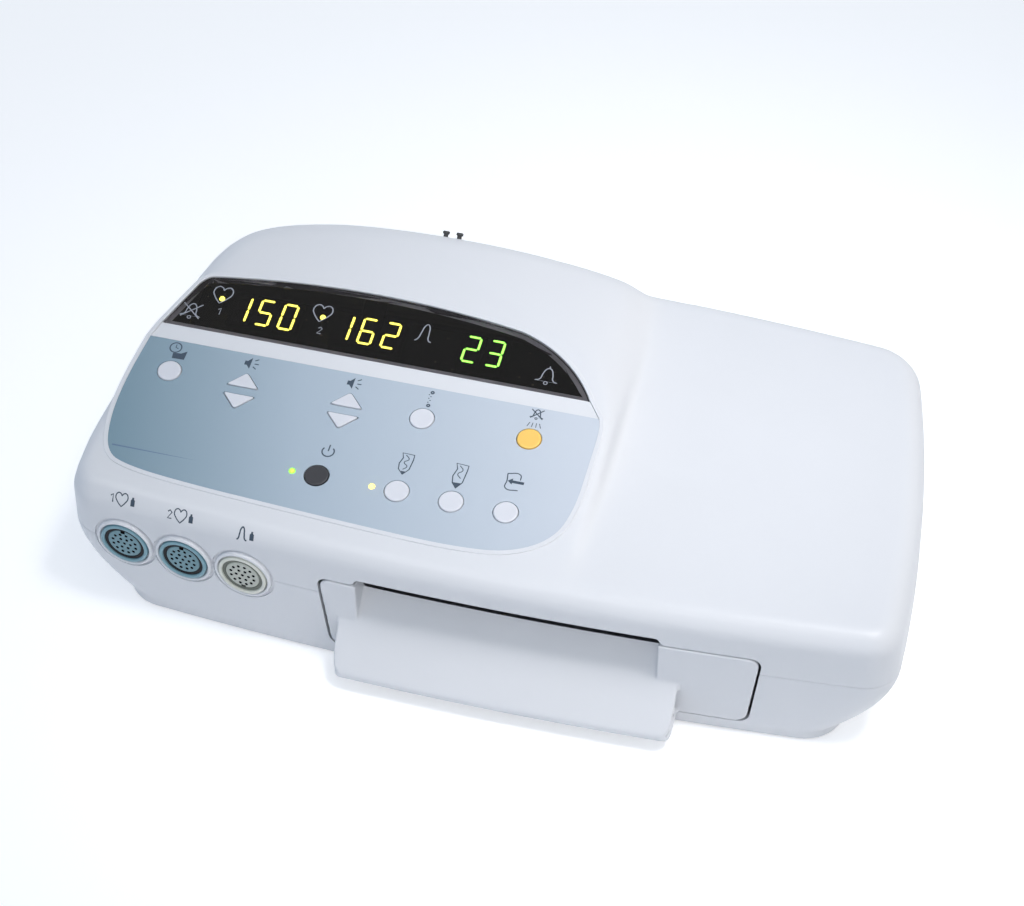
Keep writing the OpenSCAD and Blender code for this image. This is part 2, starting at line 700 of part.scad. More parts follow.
// Cover
module top_cover() color(white) difference() {
  $fn = 24;
  union() {
    difference() {
      cover_solid(0, 22.5);
      cover_solid(wall);
    }
    on_panel(w = -wall) linear_extrude(wall + rim_h) difference() {
      offset(r = rim_w) face_outline();
      offset(r = -lens_ledge) lens_outline();
    }
    intersection() {
      cover_solid(1);
      for (p = screw_places) translate([p[0], p[1], part_z]) cylinder(d = screw_post_d, h = 60);
    }
    intersection() {
      cover_solid(1);
      socket_backs();
    }
    for (p = panel_posts) on_panel(p[0], p[1], keypad_w) cylinder(d = post_d, h = -keypad_w - 2);
    for (p = display_posts) on_panel(p[0], p[1], display_w) cylinder(d = post_d, h = -display_w - 2);
  }
  translate([0, 0, part_z - 60]) linear_extrude(60) square(2 * body_w, center = true);
  on_panel(w = -overlay_seat) linear_extrude(10) offset(r = fit_gap) overlay_outline();
  on_panel() linear_extrude(10) face_outline();
  on_panel(w = -lens_t - 0.2) linear_extrude(10) offset(r = fit_gap) lens_outline();
  on_panel(w = -30) linear_extrude(40) offset(r = -lens_ledge) lens_outline();
  for (k = keys) on_panel(k[2], k[3], -wall - 1) linear_extrude(10) key_outline(k, key_gap);
  for (p = lamps) on_panel(p[0], p[1], -wall - 1) cylinder(d = lamp_d + 0.4, h = 10);
  for (p = panel_posts) on_panel(p[0], p[1], keypad_w - 1) cylinder(d = board_screw_d - 0.6, h = 6);
  for (p = display_posts) on_panel(p[0], p[1], display_w - 1) cylinder(d = board_screw_d - 0.6, h = 6);
  for (p = screw_places) translate([p[0], p[1], part_z - 1]) cylinder(d = screw_d - 0.6, h = 16);
  for (x = peg_xs) peg_at(x) translate([0, 0, -20]) cylinder(d = peg_d + 0.2, h = 40);
  drawer_cut();
  socket_cuts();
}

// Places children on the pod's rear edge, +Z pointing out of it
module peg_at(x) translate([x, crest_y(x), crest_z - crest_edge_r - 0.3]) rotate([peg_up - 90, 0, 0])
  translate([0, 0, crest_edge_r]) children();
module rear_pegs() color(dark) for (x = peg_xs) peg_at(x) {
  translate([0, 0, -wall]) cylinder(d = peg_d, h = wall + 2);
  translate([0, 0, 1.4]) cylinder(d = peg_d + 1.2, h = 1.6);
}

module rubber_feet() color(dark) for (p = foot_places) translate([p[0], p[1], 0])
  rotate_extrude() polygon([[0, 0], [foot_d / 2 - 1.5, 0], [foot_d / 2, 1.5],
                            [foot_d / 2, foot_h + foot_seat], [0, foot_h + foot_seat]]);

module cover_screws() color(steel) for (p = screw_places) translate([p[0], p[1], screw_head_z - 2.6])
  difference() {
    union() {
      cylinder(d = screw_head_d, h = 2.6);
      cylinder(d = screw_d - 0.7, h = part_z - screw_head_z + 2.6 + 12);
    }
    translate([0, 0, -1]) cylinder(r = 1.6, h = 2.4, $fn = 6);
  }

// Panel
module display_lens() color([0.03, 0.03, 0.06]) on_panel(w = -lens_t - 0.2) linear_extrude(lens_t)
  lens_outline();
module panel_overlay() color(panel_grey) on_panel(w = -overlay_seat) linear_extrude(overlay_t)
  difference() {
    overlay_outline();
    for (k = keys) translate([k[2], k[3]]) key_outline(k, key_gap);
    for (p = lamps) translate(p) circle(d = lamp_d + 0.4);
  }
module key_solid(k) on_panel(k[2], k[3]) {
  if (k[1] == "round") translate([0, 0, flange_top_w - key_flange_t / 2])
    rotate_extrude() polygon(concat([[0, 0], [key_d / 2, 0]],
      [for (a = [0:30:90]) [key_d / 2 - 0.6 + 0.6 * cos(a), key_top_h - 0.6 + 0.6 * sin(a)]],
      [[0, key_top_h + 0.15]]));
  else translate([0, 0, flange_top_w - key_flange_t / 2]) linear_extrude(key_top_h) key_outline(k);
  translate([0, 0, flange_top_w - key_flange_t]) linear_extrude(key_flange_t)
    key_outline(k, key_flange);
  translate([0, stem_off(k), stem_w]) cylinder(d = key_stem_d, h = key_stem + 0.2);
}
module switch_at(k) on_panel(k[2], k[3] + stem_off(k), keypad_w) children();
module tact_switches() color(dark) for (k = keys) switch_at(k) {
  translate([-3, -3, 0]) cube([6, 6, 3]);
  cylinder(d = 3.2, h = switch_top_w - keypad_w);
}
module keypad_board() color(board_green) difference() {
  on_panel(w = keypad_w - board_t) translate([overlay_left + 8, 6, 0])
    cube([overlay_right - overlay_left - 14, overlay_d - 10, board_t]);
  for (p = panel_posts) on_panel(p[0], p[1], keypad_w - 3) cylinder(d = board_screw_d + 0.4, h = 5);
  for (p = screw_places) translate([p[0], p[1], part_z]) cylinder(d = screw_post_d + 1, h = 60);
}
module panel_lamps() color([0.6, 0.9, 0.3]) for (p = lamps) on_panel(p[0], p[1], keypad_w) {
  cylinder(d = lamp_d - 0.4, h = 3 - overlay_seat - keypad_w - 2);
  translate([0, 0, 3 - overlay_seat - keypad_w - 2]) sphere(d = lamp_d - 0.4, $fn = 24);
  cylinder(d = lamp_d + 1.4, h = 3);
}
module display_board() color(board_green) difference() {
  on_panel(w = display_w - board_t) {
    translate([lens_left + 10, display_edge_v, 0])
      cube([lens_right - lens_left - 12, lens_rise + 2, board_t]);
    translate([lens_mid_x - 6, display_edge_v, 0]) cube([12, lens_rise + 16, board_t]);
  }
  for (p = display_posts) on_panel(p[0], p[1], display_w - 3) cylinder(d = board_screw_d + 0.4, h = 5);
}
module pulse_lamps() color([1, 0.8, 0.2]) for (p = hearts) on_panel(p[0], p[1], display_w) {
  cylinder(d = 3, h = digit_h - 1.5);
  translate([0, 0, digit_h - 1.5]) sphere(d = 3, $fn = 24);
}

// Lit bars of each figure from 0 to 9: top, right above, right below, bottom, left below,
// left above, middle
figures = ["1111110", "0110000", "1101101", "1111001", "0110011", "1011011", "1011111",
           "1110000", "1111111", "1111011"];
bars = [[0, bar_y, 1], [bar_x, bar_y / 2, 0], [bar_x, -bar_y / 2, 0], [0, -bar_y, 1],
        [-bar_x, -bar_y / 2, 0], [-bar_x, bar_y / 2, 0], [0, 0, 1]];
module digit_row(c, figs, hue) on_panel(c[0], c[1], display_w) for (i = [0:len(figs) - 1])
  translate([(i - (len(figs) - 1) / 2) * (digit_w + 0.2), 0, 0]) {
    color([0.2, 0.2, 0.2]) translate([-digit_w / 2, -digit_l / 2, 0])
      cube([digit_w, digit_l, digit_h]);
    for (b = [0:6]) if (figures[figs[i]][b] == "1") color(hue)
      translate([bars[b][0], bars[b][1], digit_h - 0.1]) rotate(bars[b][2] * 90)
        translate([-0.8, -2.9, 0]) cube([1.6, 5.8, 0.4]);
  }
module heart_rate_1_digits() digit_row([lens_x(row_shares[0]), 121.8], [1, 5, 0], [1, 0.85, 0.2]);
module heart_rate_2_digits() digit_row([lens_x(row_shares[1]), 122.1], [1, 6, 2], [1, 0.85, 0.2]);
module contraction_digits() digit_row([lens_x(row_shares[2]), 122.8], [2, 3], [0.6, 0.95, 0.2]);

// Sockets
module socket_collars() color(white) for (i = [0:2]) on_socket(i, -spot_in)
  rotate_extrude() polygon([[socket_d / 2 + fit_gap, 0], [collar_d / 2, 0],
                            [collar_d / 2, spot_in + 0.4], [collar_d / 2 - 1, spot_in + 1],
                            [socket_d / 2 + fit_gap, spot_in + 1]]);
module socket_shell(i, hue) color(hue) on_socket(i) rotate_extrude() polygon([
  [socket_bore / 2, flange_t - spot_in - 0.6], [socket_bore / 2 + 0.6, flange_t - spot_in],
  [socket_d / 2 - 0.8, flange_t - spot_in], [socket_d / 2, flange_t - spot_in - 0.8],
  [socket_d / 2, -spot_in], [socket_barrel_d / 2, -spot_in], [socket_barrel_d / 2, -barrel_l],
  [insert_d / 2, -barrel_l], [insert_d / 2, -barrel_l + 3], [socket_bore / 2, -barrel_l + 3]]);
pin_places = [[0, 0], for (a = [0:60:300]) 3.4 * [cos(a), sin(a)],
              for (a = [15:30:345]) 6.4 * [cos(a), sin(a)]];
module socket_insert(i, hue) color(hue) on_socket(i) difference() {
  union() {
    translate([0, 0, -barrel_l - 2]) cylinder(d = insert_d - 0.1, h = barrel_l + 2.4);
    translate([0, 0, -barrel_l + 3.2]) cylinder(d = socket_bore - 0.3, h = 3);
  }
  for (p = pin_places) translate([p[0], p[1], -4]) cylinder(d = 1.6, h = 6, $fn = 16);
  translate([-1.2, insert_d / 2 - 1.4, -4]) cube([2.4, 3, 6]);
}
module socket_nuts() color(steel) for (i = [0:2]) on_socket(i, -spot_in - 4 - 3.6) difference() {
  rotate(30) cylinder(d = socket_barrel_d + 4, h = 3.4, $fn = 6);
  translate([0, 0, -1]) cylinder(d = socket_barrel_d + 0.1, h = 6);
}
module socket_board() color(board_green)
  on_socket(1, -barrel_l - 2 - board_t - 0.8) translate([-socket_pitch - 16, -14, 0])
    cube([2 * socket_pitch + 32, 26, board_t]);

// Boards in the base
module board(x, y, w, d, holes) difference() {
  translate([x, y, board_z]) cube([w, d, board_t]);
  for (p = holes) translate([p[0], p[1], board_z - 1]) cylinder(d = board_screw_d + 0.6, h = 4);
}
module main_board() color(board_green) board(main_x0, main_y0, main_w, main_d, main_holes);
module power_board() color(board_green) board(power_x0, power_y0, power_w, power_d, power_holes);
module small_screw(h) {
  cylinder(d = board_screw_d - 0.1, h = h);
  translate([0, 0, h]) cylinder(d = 5, h = 1.6);
}
module board_screws() color(steel) {
  for (p = board_places) translate([p[0], p[1], board_z + board_t - 6]) small_screw(6);
  for (p = panel_posts) on_panel(p[0], p[1], keypad_w - board_t) mirror([0, 0, 1])
    translate([0, 0, -5]) panel_screw(5);
  for (p = display_posts) on_panel(p[0], p[1], display_w - board_t) mirror([0, 0, 1])
    translate([0, 0, -5]) panel_screw(5);
}
module panel_screw(h) {
  cylinder(d = board_screw_d - 0.7, h = h);
  translate([0, 0, h]) cylinder(d = 4.6, h = 1.4);
}
// Chips and plugs on the main board, as [share of its width, y, width, depth, height]
main_chips = [[0.178, 50, 28, 28, 3], [0.4, 55, 20, 14, 3], [0.4, 35, 20, 14, 3],
              [0.578, 60, 26, 10, 3], [0.578, 40, 26, 10, 3], [0.8, 60, 14, 30, 4],
              [0.071, 46, 8, 30, 9], [0.667, 24, 60, 6, 9], [0.889, 34, 24, 8, 9],
              [0.267, 80, 40, 6, 8], [0.178, 24, 34, 6, 8]];
module main_board_parts() color(dark) translate([0, 0, board_z + board_t]) {
  for (c = main_chips) translate([main_x0 + c[0] * main_w - c[2] / 2, c[1] - c[3] / 2, 0])
    cube([c[2], c[3], c[4]]);
  for (x = [0:3]) translate([main_x0 + 0.915 * main_w, 46 + 10 * x, 0]) cylinder(d = 8, h = 12);
}
module transformer() translate([power_x0 + 14, power_y0 + 12, board_z + board_t]) {
  color([0.45, 0.45, 0.48]) translate([0, 7, 0]) cube([40, 18, 32]);
  color([0.75, 0.6, 0.25]) translate([7, 2, 3]) cube([26, 28, 26]);
}
module power_parts() color(dark) translate([power_x0, power_y0, board_z + board_t]) {
  for (i = [0:2]) translate([14 + 16 * i, 50, 0]) cylinder(d = 13, h = 22);
  translate([6, 60.5, 0]) cube([52, 3, 18]);
  translate([58, 20, 0]) cube([5, 24, 8]);
}

// Rear
module rear_plate() color(steel) difference() {
  translate([-rear_plate_w / 2 + fit_gap, rear_y, rear_z + fit_gap])
    cube([rear_plate_w - 2 * fit_gap, rear_plate_t, rear_plate_h - 2 * fit_gap]);
  translate([inlet_x - inlet_w / 2 - 0.2, rear_y - 1, inlet_z - inlet_h / 2 - 0.2])
    cube([inlet_w + 0.4, 5, inlet_h + 0.4]);
  for (z = fuse_zs) translate([fuse_x, rear_y - 1, z]) rotate([-90, 0, 0])
    cylinder(d = fuse_d + 0.3, h = 5);
  for (x = port_xs) translate([x - port_w / 2 - 0.2, rear_y - 1, inlet_z - port_h / 2 - 0.2])
    cube([port_w + 0.4, 5, port_h + 0.4]);
  translate([stud_x, rear_y - 1, inlet_z]) rotate([-90, 0, 0])
    cylinder(d = stud_base_d + 0.3, h = 5);
}
module mains_inlet() color(dark) difference() {
  union() {
    translate([inlet_x - inlet_w / 2, rear_y - 15, inlet_z - inlet_h / 2]) cube([inlet_w, 17, inlet_h]);
    translate([inlet_x - inlet_w / 2 - 2, rear_y + rear_plate_t, inlet_z - inlet_h / 2 - 2])
      cube([inlet_w + 4, 2, inlet_h + 4]);
  }
  difference() {
    translate([inlet_x - 12, rear_y - 13, inlet_z - 8]) cube([24, 30, 16]);
    for (p = [[-7, 0], [0, 4], [7, 0]])
      translate([inlet_x + p[0] - 1, rear_y - 14, inlet_z + p[1] - 2]) cube([2, 14, 4]);
  }
}
module fuse_holders() color(dark) for (z = fuse_zs)
  translate([fuse_x, rear_y - 18, z]) rotate([-90, 0, 0]) difference() {
    union() {
      cylinder(d = fuse_d, h = 18 + rear_plate_t);
      translate([0, 0, 18 + rear_plate_t]) cylinder(d = fuse_d + 2.5, h = 2.5);
    }
    translate([-0.8, -4, 20 + rear_plate_t]) cube([1.6, 8, 3]);
  }
module data_ports() color(steel) for (x = port_xs) {
  difference() {
    union() {
      translate([x - port_w / 2, rear_y - 10, inlet_z - port_h / 2]) cube([port_w, 16, port_h]);
      translate([x - port_w / 2 - 6, rear_y + rear_plate_t, inlet_z - port_h / 2 - 0.5])
        cube([port_w + 12, 1, port_h + 1]);
    }
    translate([x - port_w / 2 + 1, rear_y + 1, inlet_z - port_h / 2 + 1])
      cube([port_w - 2, 10, port_h - 2]);
  }
  for (s = [-1, 1]) translate([x + s * (port_w / 2 + 3), rear_y + rear_plate_t, inlet_z])
    rotate([-90, 0, 0]) cylinder(d = 4.6, h = 5, $fn = 6);
}
module ground_stud() color(steel) translate([stud_x, rear_y - 4, inlet_z]) rotate([-90, 0, 0]) {
  cylinder(d = stud_base_d, h = 4 + rear_plate_t);
  translate([0, 0, 4 + rear_plate_t]) cylinder(d = stud_base_d + 3, h = 2);
  translate([0, 0, 4]) cylinder(d = 6, h = 13);
}
module speaker() color([0.2, 0.2, 0.22]) translate([speaker_p[0], speaker_p[1], base_floor_z + 0.2]) {
  difference() {
    cylinder(d = speaker_d, h = 3);
    translate([0, 0, -1]) cylinder(d = speaker_d - 8, h = 3);
  }
  translate([0, 0, 3]) cylinder(r1 = speaker_d / 2 - 4, r2 = 14, h = 7);
  translate([0, 0, 10]) cylinder(d = 30, h = speaker_h - 10);
}
module bracket_inserts() color([0.8, 0.65, 0.3]) for (p = bracket_places) translate([p[0], p[1], foot_h])
  pipe(insert_od / 2, bracket_bore / 2, bracket_h - 1);

// Recorder
module frame_side(x, holes) difference() {
  translate([x, frame_y0, base_floor_z]) cube([frame_t, frame_d, frame_z1 - base_floor_z]);
  for (h = holes) translate([x - 1, h[0], h[1]]) rotate([0, 90, 0]) cylinder(r = h[2], h = frame_t + 2);
}
module recorder_frame() color(steel) {
  bearing = [platen_y, platen_z, platen_shaft_d / 2 + run_gap];
  frame_side(frame_x0 - frame_t, [bearing]);
  frame_side(frame_x1, [bearing]);
  translate([frame_x0 - frame_t, frame_y0 + 4, frame_z1 - 2])
    cube([frame_x1 - frame_x0 + 2 * frame_t, frame_d - 6, 2]);
  translate([frame_x0 - frame_t - 10, frame_y0, base_floor_z]) cube([10, frame_d, 2]);
  // Foot and upright plate that carry the motor
  translate([frame_x1, frame_y0, base_floor_z])
    cube([motor_x + frame_t - frame_x1, motor_plate_y1 - frame_y0, 2]);
  difference() {
    translate([motor_x, motor_plate_y0, base_floor_z])
      cube([frame_t, motor_plate_y1 - motor_plate_y0, pinion_p[1] + motor_d / 2 - base_floor_z]);
    translate([motor_x - 1, pinion_p[0], pinion_p[1]]) rotate([0, 90, 0])
      cylinder(d = motor_boss_d + 0.4, h = frame_t + 2);
  }
  // Stub axle of the idler
  translate([frame_x1 + frame_t - 0.5, idler_p[0], idler_p[1]]) rotate([0, 90, 0])
    cylinder(d = stub_d, h = gear_w + 1.8);
  translate([frame_x1 + frame_t - 0.5, idler_p[0], idler_p[1]]) rotate([0, 90, 0])
    cylinder(d = stub_d + 3, h = 1.2);
  bridge_plate();
}
// Web that ties the right side plate to the idler's seat
module bridge_plate() translate([frame_x1, frame_y0 + frame_d - 1, base_floor_z])
  cube([frame_t, 12, 50]);
module stepper_motor() color([0.3, 0.3, 0.33]) translate([motor_x + frame_t, pinion_p[0], pinion_p[1]])
  rotate([0, 90, 0]) difference() {
    union() {
      cylinder(d = motor_d, h = motor_l);
      translate([0, 0, -frame_t]) cylinder(d = motor_boss_d, h = frame_t + 1);
    }
    translate([0, 0, -frame_t - 1]) cylinder(r = motor_shaft_d / 2 + run_gap, h = 14 + frame_t);
  }
module printhead() color([0.55, 0.57, 0.6]) {
  translate([slot_l + 2, platen_y - 8, platen_z + platen_d / 2 + 0.3]) cube([slot_w - 4, 16, 3]);
  for (i = [0:4]) translate([slot_l + 4, platen_y - 8 + 3.6 * i, platen_z + platen_d / 2 + 3.2])
    cube([slot_w - 8, 1.6, 3]);
}
module printhead_springs() color(steel) for (x = [slot_l + 20, slot_x, slot_r - 20])
  translate([x - 5, 0, 0]) along_x(0, 10) polygon([
    [platen_y - 6, spring_z + 0.05], [platen_y, frame_z1 - 2.9], [platen_y + 6, spring_z + 0.05],
    [platen_y + 6, spring_z + 0.75], [platen_y, frame_z1 - 2.05], [platen_y - 6, spring_z + 0.75]]);
// Rails with a slot each, whose length stops the tray's lugs at the end of the travel
module drawer_rails() color(steel) for (s = [0, 1]) at_tray_side(s)
  translate([-fit_gap - rail_t, 0, 0]) {
    difference() {
      translate([0, tray_y0, base_floor_z]) cube([rail_t, tray_l, tray_z - base_floor_z + 12]);
      translate([-1, lug_p[0] - drawer_travel - lug_d / 2 - fit_gap, lug_p[1] - lug_d / 2 - fit_gap])
        cube([rail_t + 2, drawer_travel + lug_d + 2 * fit_gap, lug_d + 2 * fit_gap]);
    }
    translate([0, tray_y0, base_floor_z])
      cube([rail_foot, tray_l, tray_z - base_floor_z - fit_gap]);
  }
module at_tray_side(s) translate([s == 0 ? tray_x0 : tray_x1, 0, 0]) mirror([s, 0, 0]) children();
module paper_tray() color(white) {
  difference() {
    translate([tray_x0, tray_y0, tray_z]) cube([tray_x1 - tray_x0, tray_l, tray_h]);
    translate([slot_l, tray_y0 + tray_t, tray_z + tray_t]) cube([slot_w, pack_l, tray_h]);
    translate([slot_x - 20, tray_y0 - 1, tray_z + 10]) cube([40, tray_t + 2, tray_h]);
  }
  for (s = [0, 1]) at_tray_side(s) translate([0.1 - fit_gap - rail_t, lug_p[0], lug_p[1]])
    rotate([0, 90, 0]) cylinder(d = lug_d, h = rail_t + fit_gap + 0.5);
}
// Height of the ramp's surface, drawn in by t, at a depth x in front of the face
function ramp_at(x, t = 0) = ramp_z - x * ramp_fall - t / cos(ramp_turn);
// Section of the scoop, drawn in by t, outwards from the points given
function scoop_pts(t, root) = concat(root,
  arc(lip_c, scoop_lip_r - t, 90 + ramp_turn, -90, 8),
  [[scoop_off + t, lip_c[1] - scoop_lip_r + t], [scoop_off + t, door_z0 + t]]);
module drawer_front() color(white) {
  difference() {
    union() {
      intersection() {
        along_face([[-drawer_t, 0], [-drawer_t, 2 * part_z], [0, 2 * part_z], [0, 0]],
          door_l - 5, door_r + 5);
        along_y(y_front - 20, y_front + 30) polygon(door_pts(0, 0));
      }
      along_face([[-1, door_z1 - fit_gap], [-1, ramp_at(-1, drawer_t)],
        [-ramp_in, ramp_at(-ramp_in, drawer_t)], [-ramp_in, door_z1 - fit_gap]],
        slot_l - drawer_t, slot_r + drawer_t);
    }
    along_face([[-ramp_in - 5, door_z1 + 5], [5, door_z1 + 5], [5, ramp_z], [0, ramp_z],
      [-ramp_in - 5, ramp_at(-ramp_in - 5)]], slot_l, slot_r);
  }
  difference() {
    along_face(scoop_pts(0, [[0, door_z0], [-2, door_z0 + 2], [-2, ramp_z - 2], [0, ramp_z]]),
      slot_l - scoop_wing, slot_r + scoop_wing);
    along_face(scoop_pts(drawer_t, [[-1, door_z0 + drawer_t], [-1, ramp_at(-1, drawer_t)]]),
      slot_l - scoop_wing - 1, slot_r + scoop_wing + 1);
  }
  for (x = [slot_l + 14, slot_r - 14]) translate([x - 5, y_front + drawer_t - 1, tray_z])
    cube([10, tray_y0 - y_front - drawer_t + 1, 14]);
}

// Gears and shafts
// Outline of an involute gear with short teeth, a tooth's middle at angle 0
function gear_pts(z) =
  let (r = gear_m * z / 2, rb = r * cos(20), r0 = r - 1.15 * gear_m, r1 = r + 0.8 * gear_m,
       half = 90 / z - 3.5 / r, inv20 = tan(20) * 180 / PI - 20,
       side = [for (i = [0:4])
         let (p = max(rb, r0) + (r1 - max(rb, r0)) * i / 4, al = acos(min(rb / p, 1)))
         [p, half + inv20 - (tan(al) * 180 / PI - al)]])
  [for (k = [0:z - 1]) let (c = 360 * k / z) each concat(
    [r0 * [cos(c - side[0][1] - 1), sin(c - side[0][1] - 1)]],
    [for (s = side) s[0] * [cos(c - s[1]), sin(c - s[1])]],
    [for (i = [4:-1:0]) side[i][0] * [cos(c + side[i][1]), sin(c + side[i][1])]],
    [r0 * [cos(c + side[0][1] + 1), sin(c + side[0][1] + 1)]])];
module gear(x, p, z, phase, bore_r) along_x(x, x + gear_w) translate(p) difference() {
  rotate(phase) polygon(gear_pts(z));
  circle(r = bore_r);
}
module rod(x0, x1, p, d) translate([x0, p[0], p[1]]) rotate([0, 90, 0]) cylinder(d = d, h = x1 - x0);
module platen_shaft() color(steel)
  rod(frame_x0 - frame_t - 1.5, gear_x + gear_w + 0.5, platen_p, platen_shaft_d);
module platen_rubber() color(dark) translate([slot_l + 1, platen_p[0], platen_p[1]]) rotate([0, 90, 0])
  pipe(platen_d / 2, platen_shaft_d / 2, slot_w - 2);
module platen_gear() color(white) gear(gear_x, platen_p, platen_teeth, idler_turn, platen_shaft_d / 2);
module idler_gear() color(ivory) gear(gear_x, idler_p, idler_teeth, idler_phase, stub_d / 2 + run_gap);
module motor_pinion() color([0.8, 0.65, 0.3]) {
  gear(gear_x, pinion_p, pinion_teeth, pinion_phase, motor_shaft_d / 2 - 0.1);
  rod(gear_x - 0.5, motor_x + frame_t + 8, pinion_p, motor_shaft_d);
}

module clock_key() color(key_white) key_solid(keys[0]);
module volume_1_up_key() color(key_white) key_solid(keys[1]);
module volume_1_down_key() color(key_white) key_solid(keys[2]);
module volume_2_up_key() color(key_white) key_solid(keys[3]);
module volume_2_down_key() color(key_white) key_solid(keys[4]);
module zero_key() color(key_white) key_solid(keys[5]);
module silence_key() color([0.98, 0.78, 0.3]) key_solid(keys[6]);
module power_key() color(dark) key_solid(keys[7]);
module record_key() color(key_white) key_solid(keys[8]);
module mark_key() color(key_white) key_solid(keys[9]);
module paper_feed_key() color(key_white) key_solid(keys[10]);
module socket_1_shell() socket_shell(0, teal);
module socket_2_shell() socket_shell(1, teal);
module socket_3_shell() socket_shell(2, ivory);
module socket_1_insert() socket_insert(0, [0.45, 0.5, 0.56]);
module socket_2_insert() socket_insert(1, [0.45, 0.5, 0.56]);
module socket_3_insert() socket_insert(2, ivory);

base_shell();
top_cover();
rubber_feet();
cover_screws();
display_lens();
panel_overlay();
keypad_board();
tact_switches();
display_board();
heart_rate_1_digits();
heart_rate_2_digits();
contraction_digits();
pulse_lamps();
panel_lamps();
socket_collars();
socket_1_shell();
socket_2_shell();
socket_3_shell();
socket_1_insert();
socket_2_insert();
socket_3_insert();
socket_nuts();
socket_board();
main_board();
main_board_parts();
board_screws();
power_board();
transformer();
power_parts();
mains_inlet();
fuse_holders();
rear_plate();
data_ports();
ground_stud();
rear_pegs();
speaker();
recorder_frame();
printhead();
printhead_springs();
stepper_motor();
drawer_rails();
bracket_inserts();
clock_key();
volume_1_up_key();
volume_1_down_key();
volume_2_up_key();
volume_2_down_key();
zero_key();
silence_key();
power_key();
record_key();
mark_key();
paper_feed_key();
drawer_front();
paper_tray();
platen_shaft();
platen_rubber();
platen_gear();
idler_gear();
motor_pinion();
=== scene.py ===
import math
import bmesh
import bpy
from mathutils import Matrix, Vector
from mathutils.bvhtree import BVHTree


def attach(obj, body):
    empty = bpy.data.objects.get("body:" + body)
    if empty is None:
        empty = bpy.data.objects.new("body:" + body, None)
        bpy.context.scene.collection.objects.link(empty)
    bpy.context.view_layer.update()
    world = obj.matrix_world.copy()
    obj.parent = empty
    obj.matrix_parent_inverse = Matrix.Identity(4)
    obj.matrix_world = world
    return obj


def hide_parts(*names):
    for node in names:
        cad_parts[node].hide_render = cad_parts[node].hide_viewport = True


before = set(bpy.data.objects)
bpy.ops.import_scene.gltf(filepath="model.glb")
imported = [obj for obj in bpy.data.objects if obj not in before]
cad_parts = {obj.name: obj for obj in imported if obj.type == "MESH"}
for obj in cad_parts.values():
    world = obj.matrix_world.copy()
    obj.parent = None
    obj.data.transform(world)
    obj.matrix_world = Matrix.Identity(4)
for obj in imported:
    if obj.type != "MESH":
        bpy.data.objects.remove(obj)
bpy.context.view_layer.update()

scene = bpy.context.scene
scene.view_settings.view_transform = "Standard"
for name in ("Cube", "Light", "Camera"):
    if name in bpy.data.objects:
        bpy.data.objects.remove(bpy.data.objects[name])

# Camera, lamps and table. The unit stands on a plain pale table under a soft light above it at
# the right, with a weaker one from the front and a strip that only shows in its gloss.
camera_data = bpy.data.cameras.new("camera")
camera_data.lens = 91.49
camera_data.sensor_width = 36
camera_data.clip_end = 20
camera = bpy.data.objects.new("camera", camera_data)
scene.collection.objects.link(camera)
camera.matrix_world = Matrix.Translation((0.2431, -0.8858, 1.0482)) @ Matrix((
    (0.96573, -0.18453, 0.18252),
    (0.25943, 0.70732, -0.65757),
    (-0.00776, 0.68239, 0.73095))).to_4x4()
scene.camera = camera


def softbox(name, place, target, width, power, colour=(1, 1, 1), spread=180):
    lamp = bpy.data.lights.new(name, "AREA")
    lamp.shape = "DISK"
    lamp.size = width
    lamp.energy = power
    lamp.color = colour
    lamp.spread = math.radians(spread)
    obj = bpy.data.objects.new(name, lamp)
    scene.collection.objects.link(obj)
    turn = (Vector(place) - Vector(target)).to_track_quat("Z", "Y")
    obj.matrix_world = Matrix.Translation(place) @ turn.to_matrix().to_4x4()
    return obj


softbox("key_light", (0.45, 0.0, 1.4), (0.09, 0.02, 0.08), 0.5, 0.54, (1.0, 0.975, 0.96), 32)
softbox("front_light", (0.25, -1.6, 0.75), (0.0, 0.0, 0.05), 1.2, 3.8, (1.0, 0.985, 0.975))
gloss_strip = softbox("gloss_strip", (-0.33, -0.58, 1.22), (-0.05, -0.1, 0.08), 1.1, 3.5)
gloss_strip.data.shape = "RECTANGLE"
gloss_strip.data.size_y = 0.05
gloss_strip.visible_diffuse = False


def add_node(nt, kind, inputs={}, **settings):
    """Adds a shader node. An input is given a value, or linked to another node's output."""
    made = nt.nodes.new("ShaderNode" + kind)
    for key, value in settings.items():
        setattr(made, key, value)
    for key, value in inputs.items():
        if isinstance(value, bpy.types.NodeSocket):
            nt.links.new(value, made.inputs[key])
        else:
            made.inputs[key].default_value = value
    return made


def seen(nt):
    """1 for what the camera, a reflection or glass sees, and 0 for what lights the object."""
    path = add_node(nt, "LightPath").outputs
    first = add_node(nt, "Math", {0: path["Is Camera Ray"], 1: path["Is Glossy Ray"]},
                     operation="MAXIMUM")
    return add_node(nt, "Math", {0: first.outputs[0], 1: path["Is Transmission Ray"]},
                    operation="MAXIMUM").outputs[0]


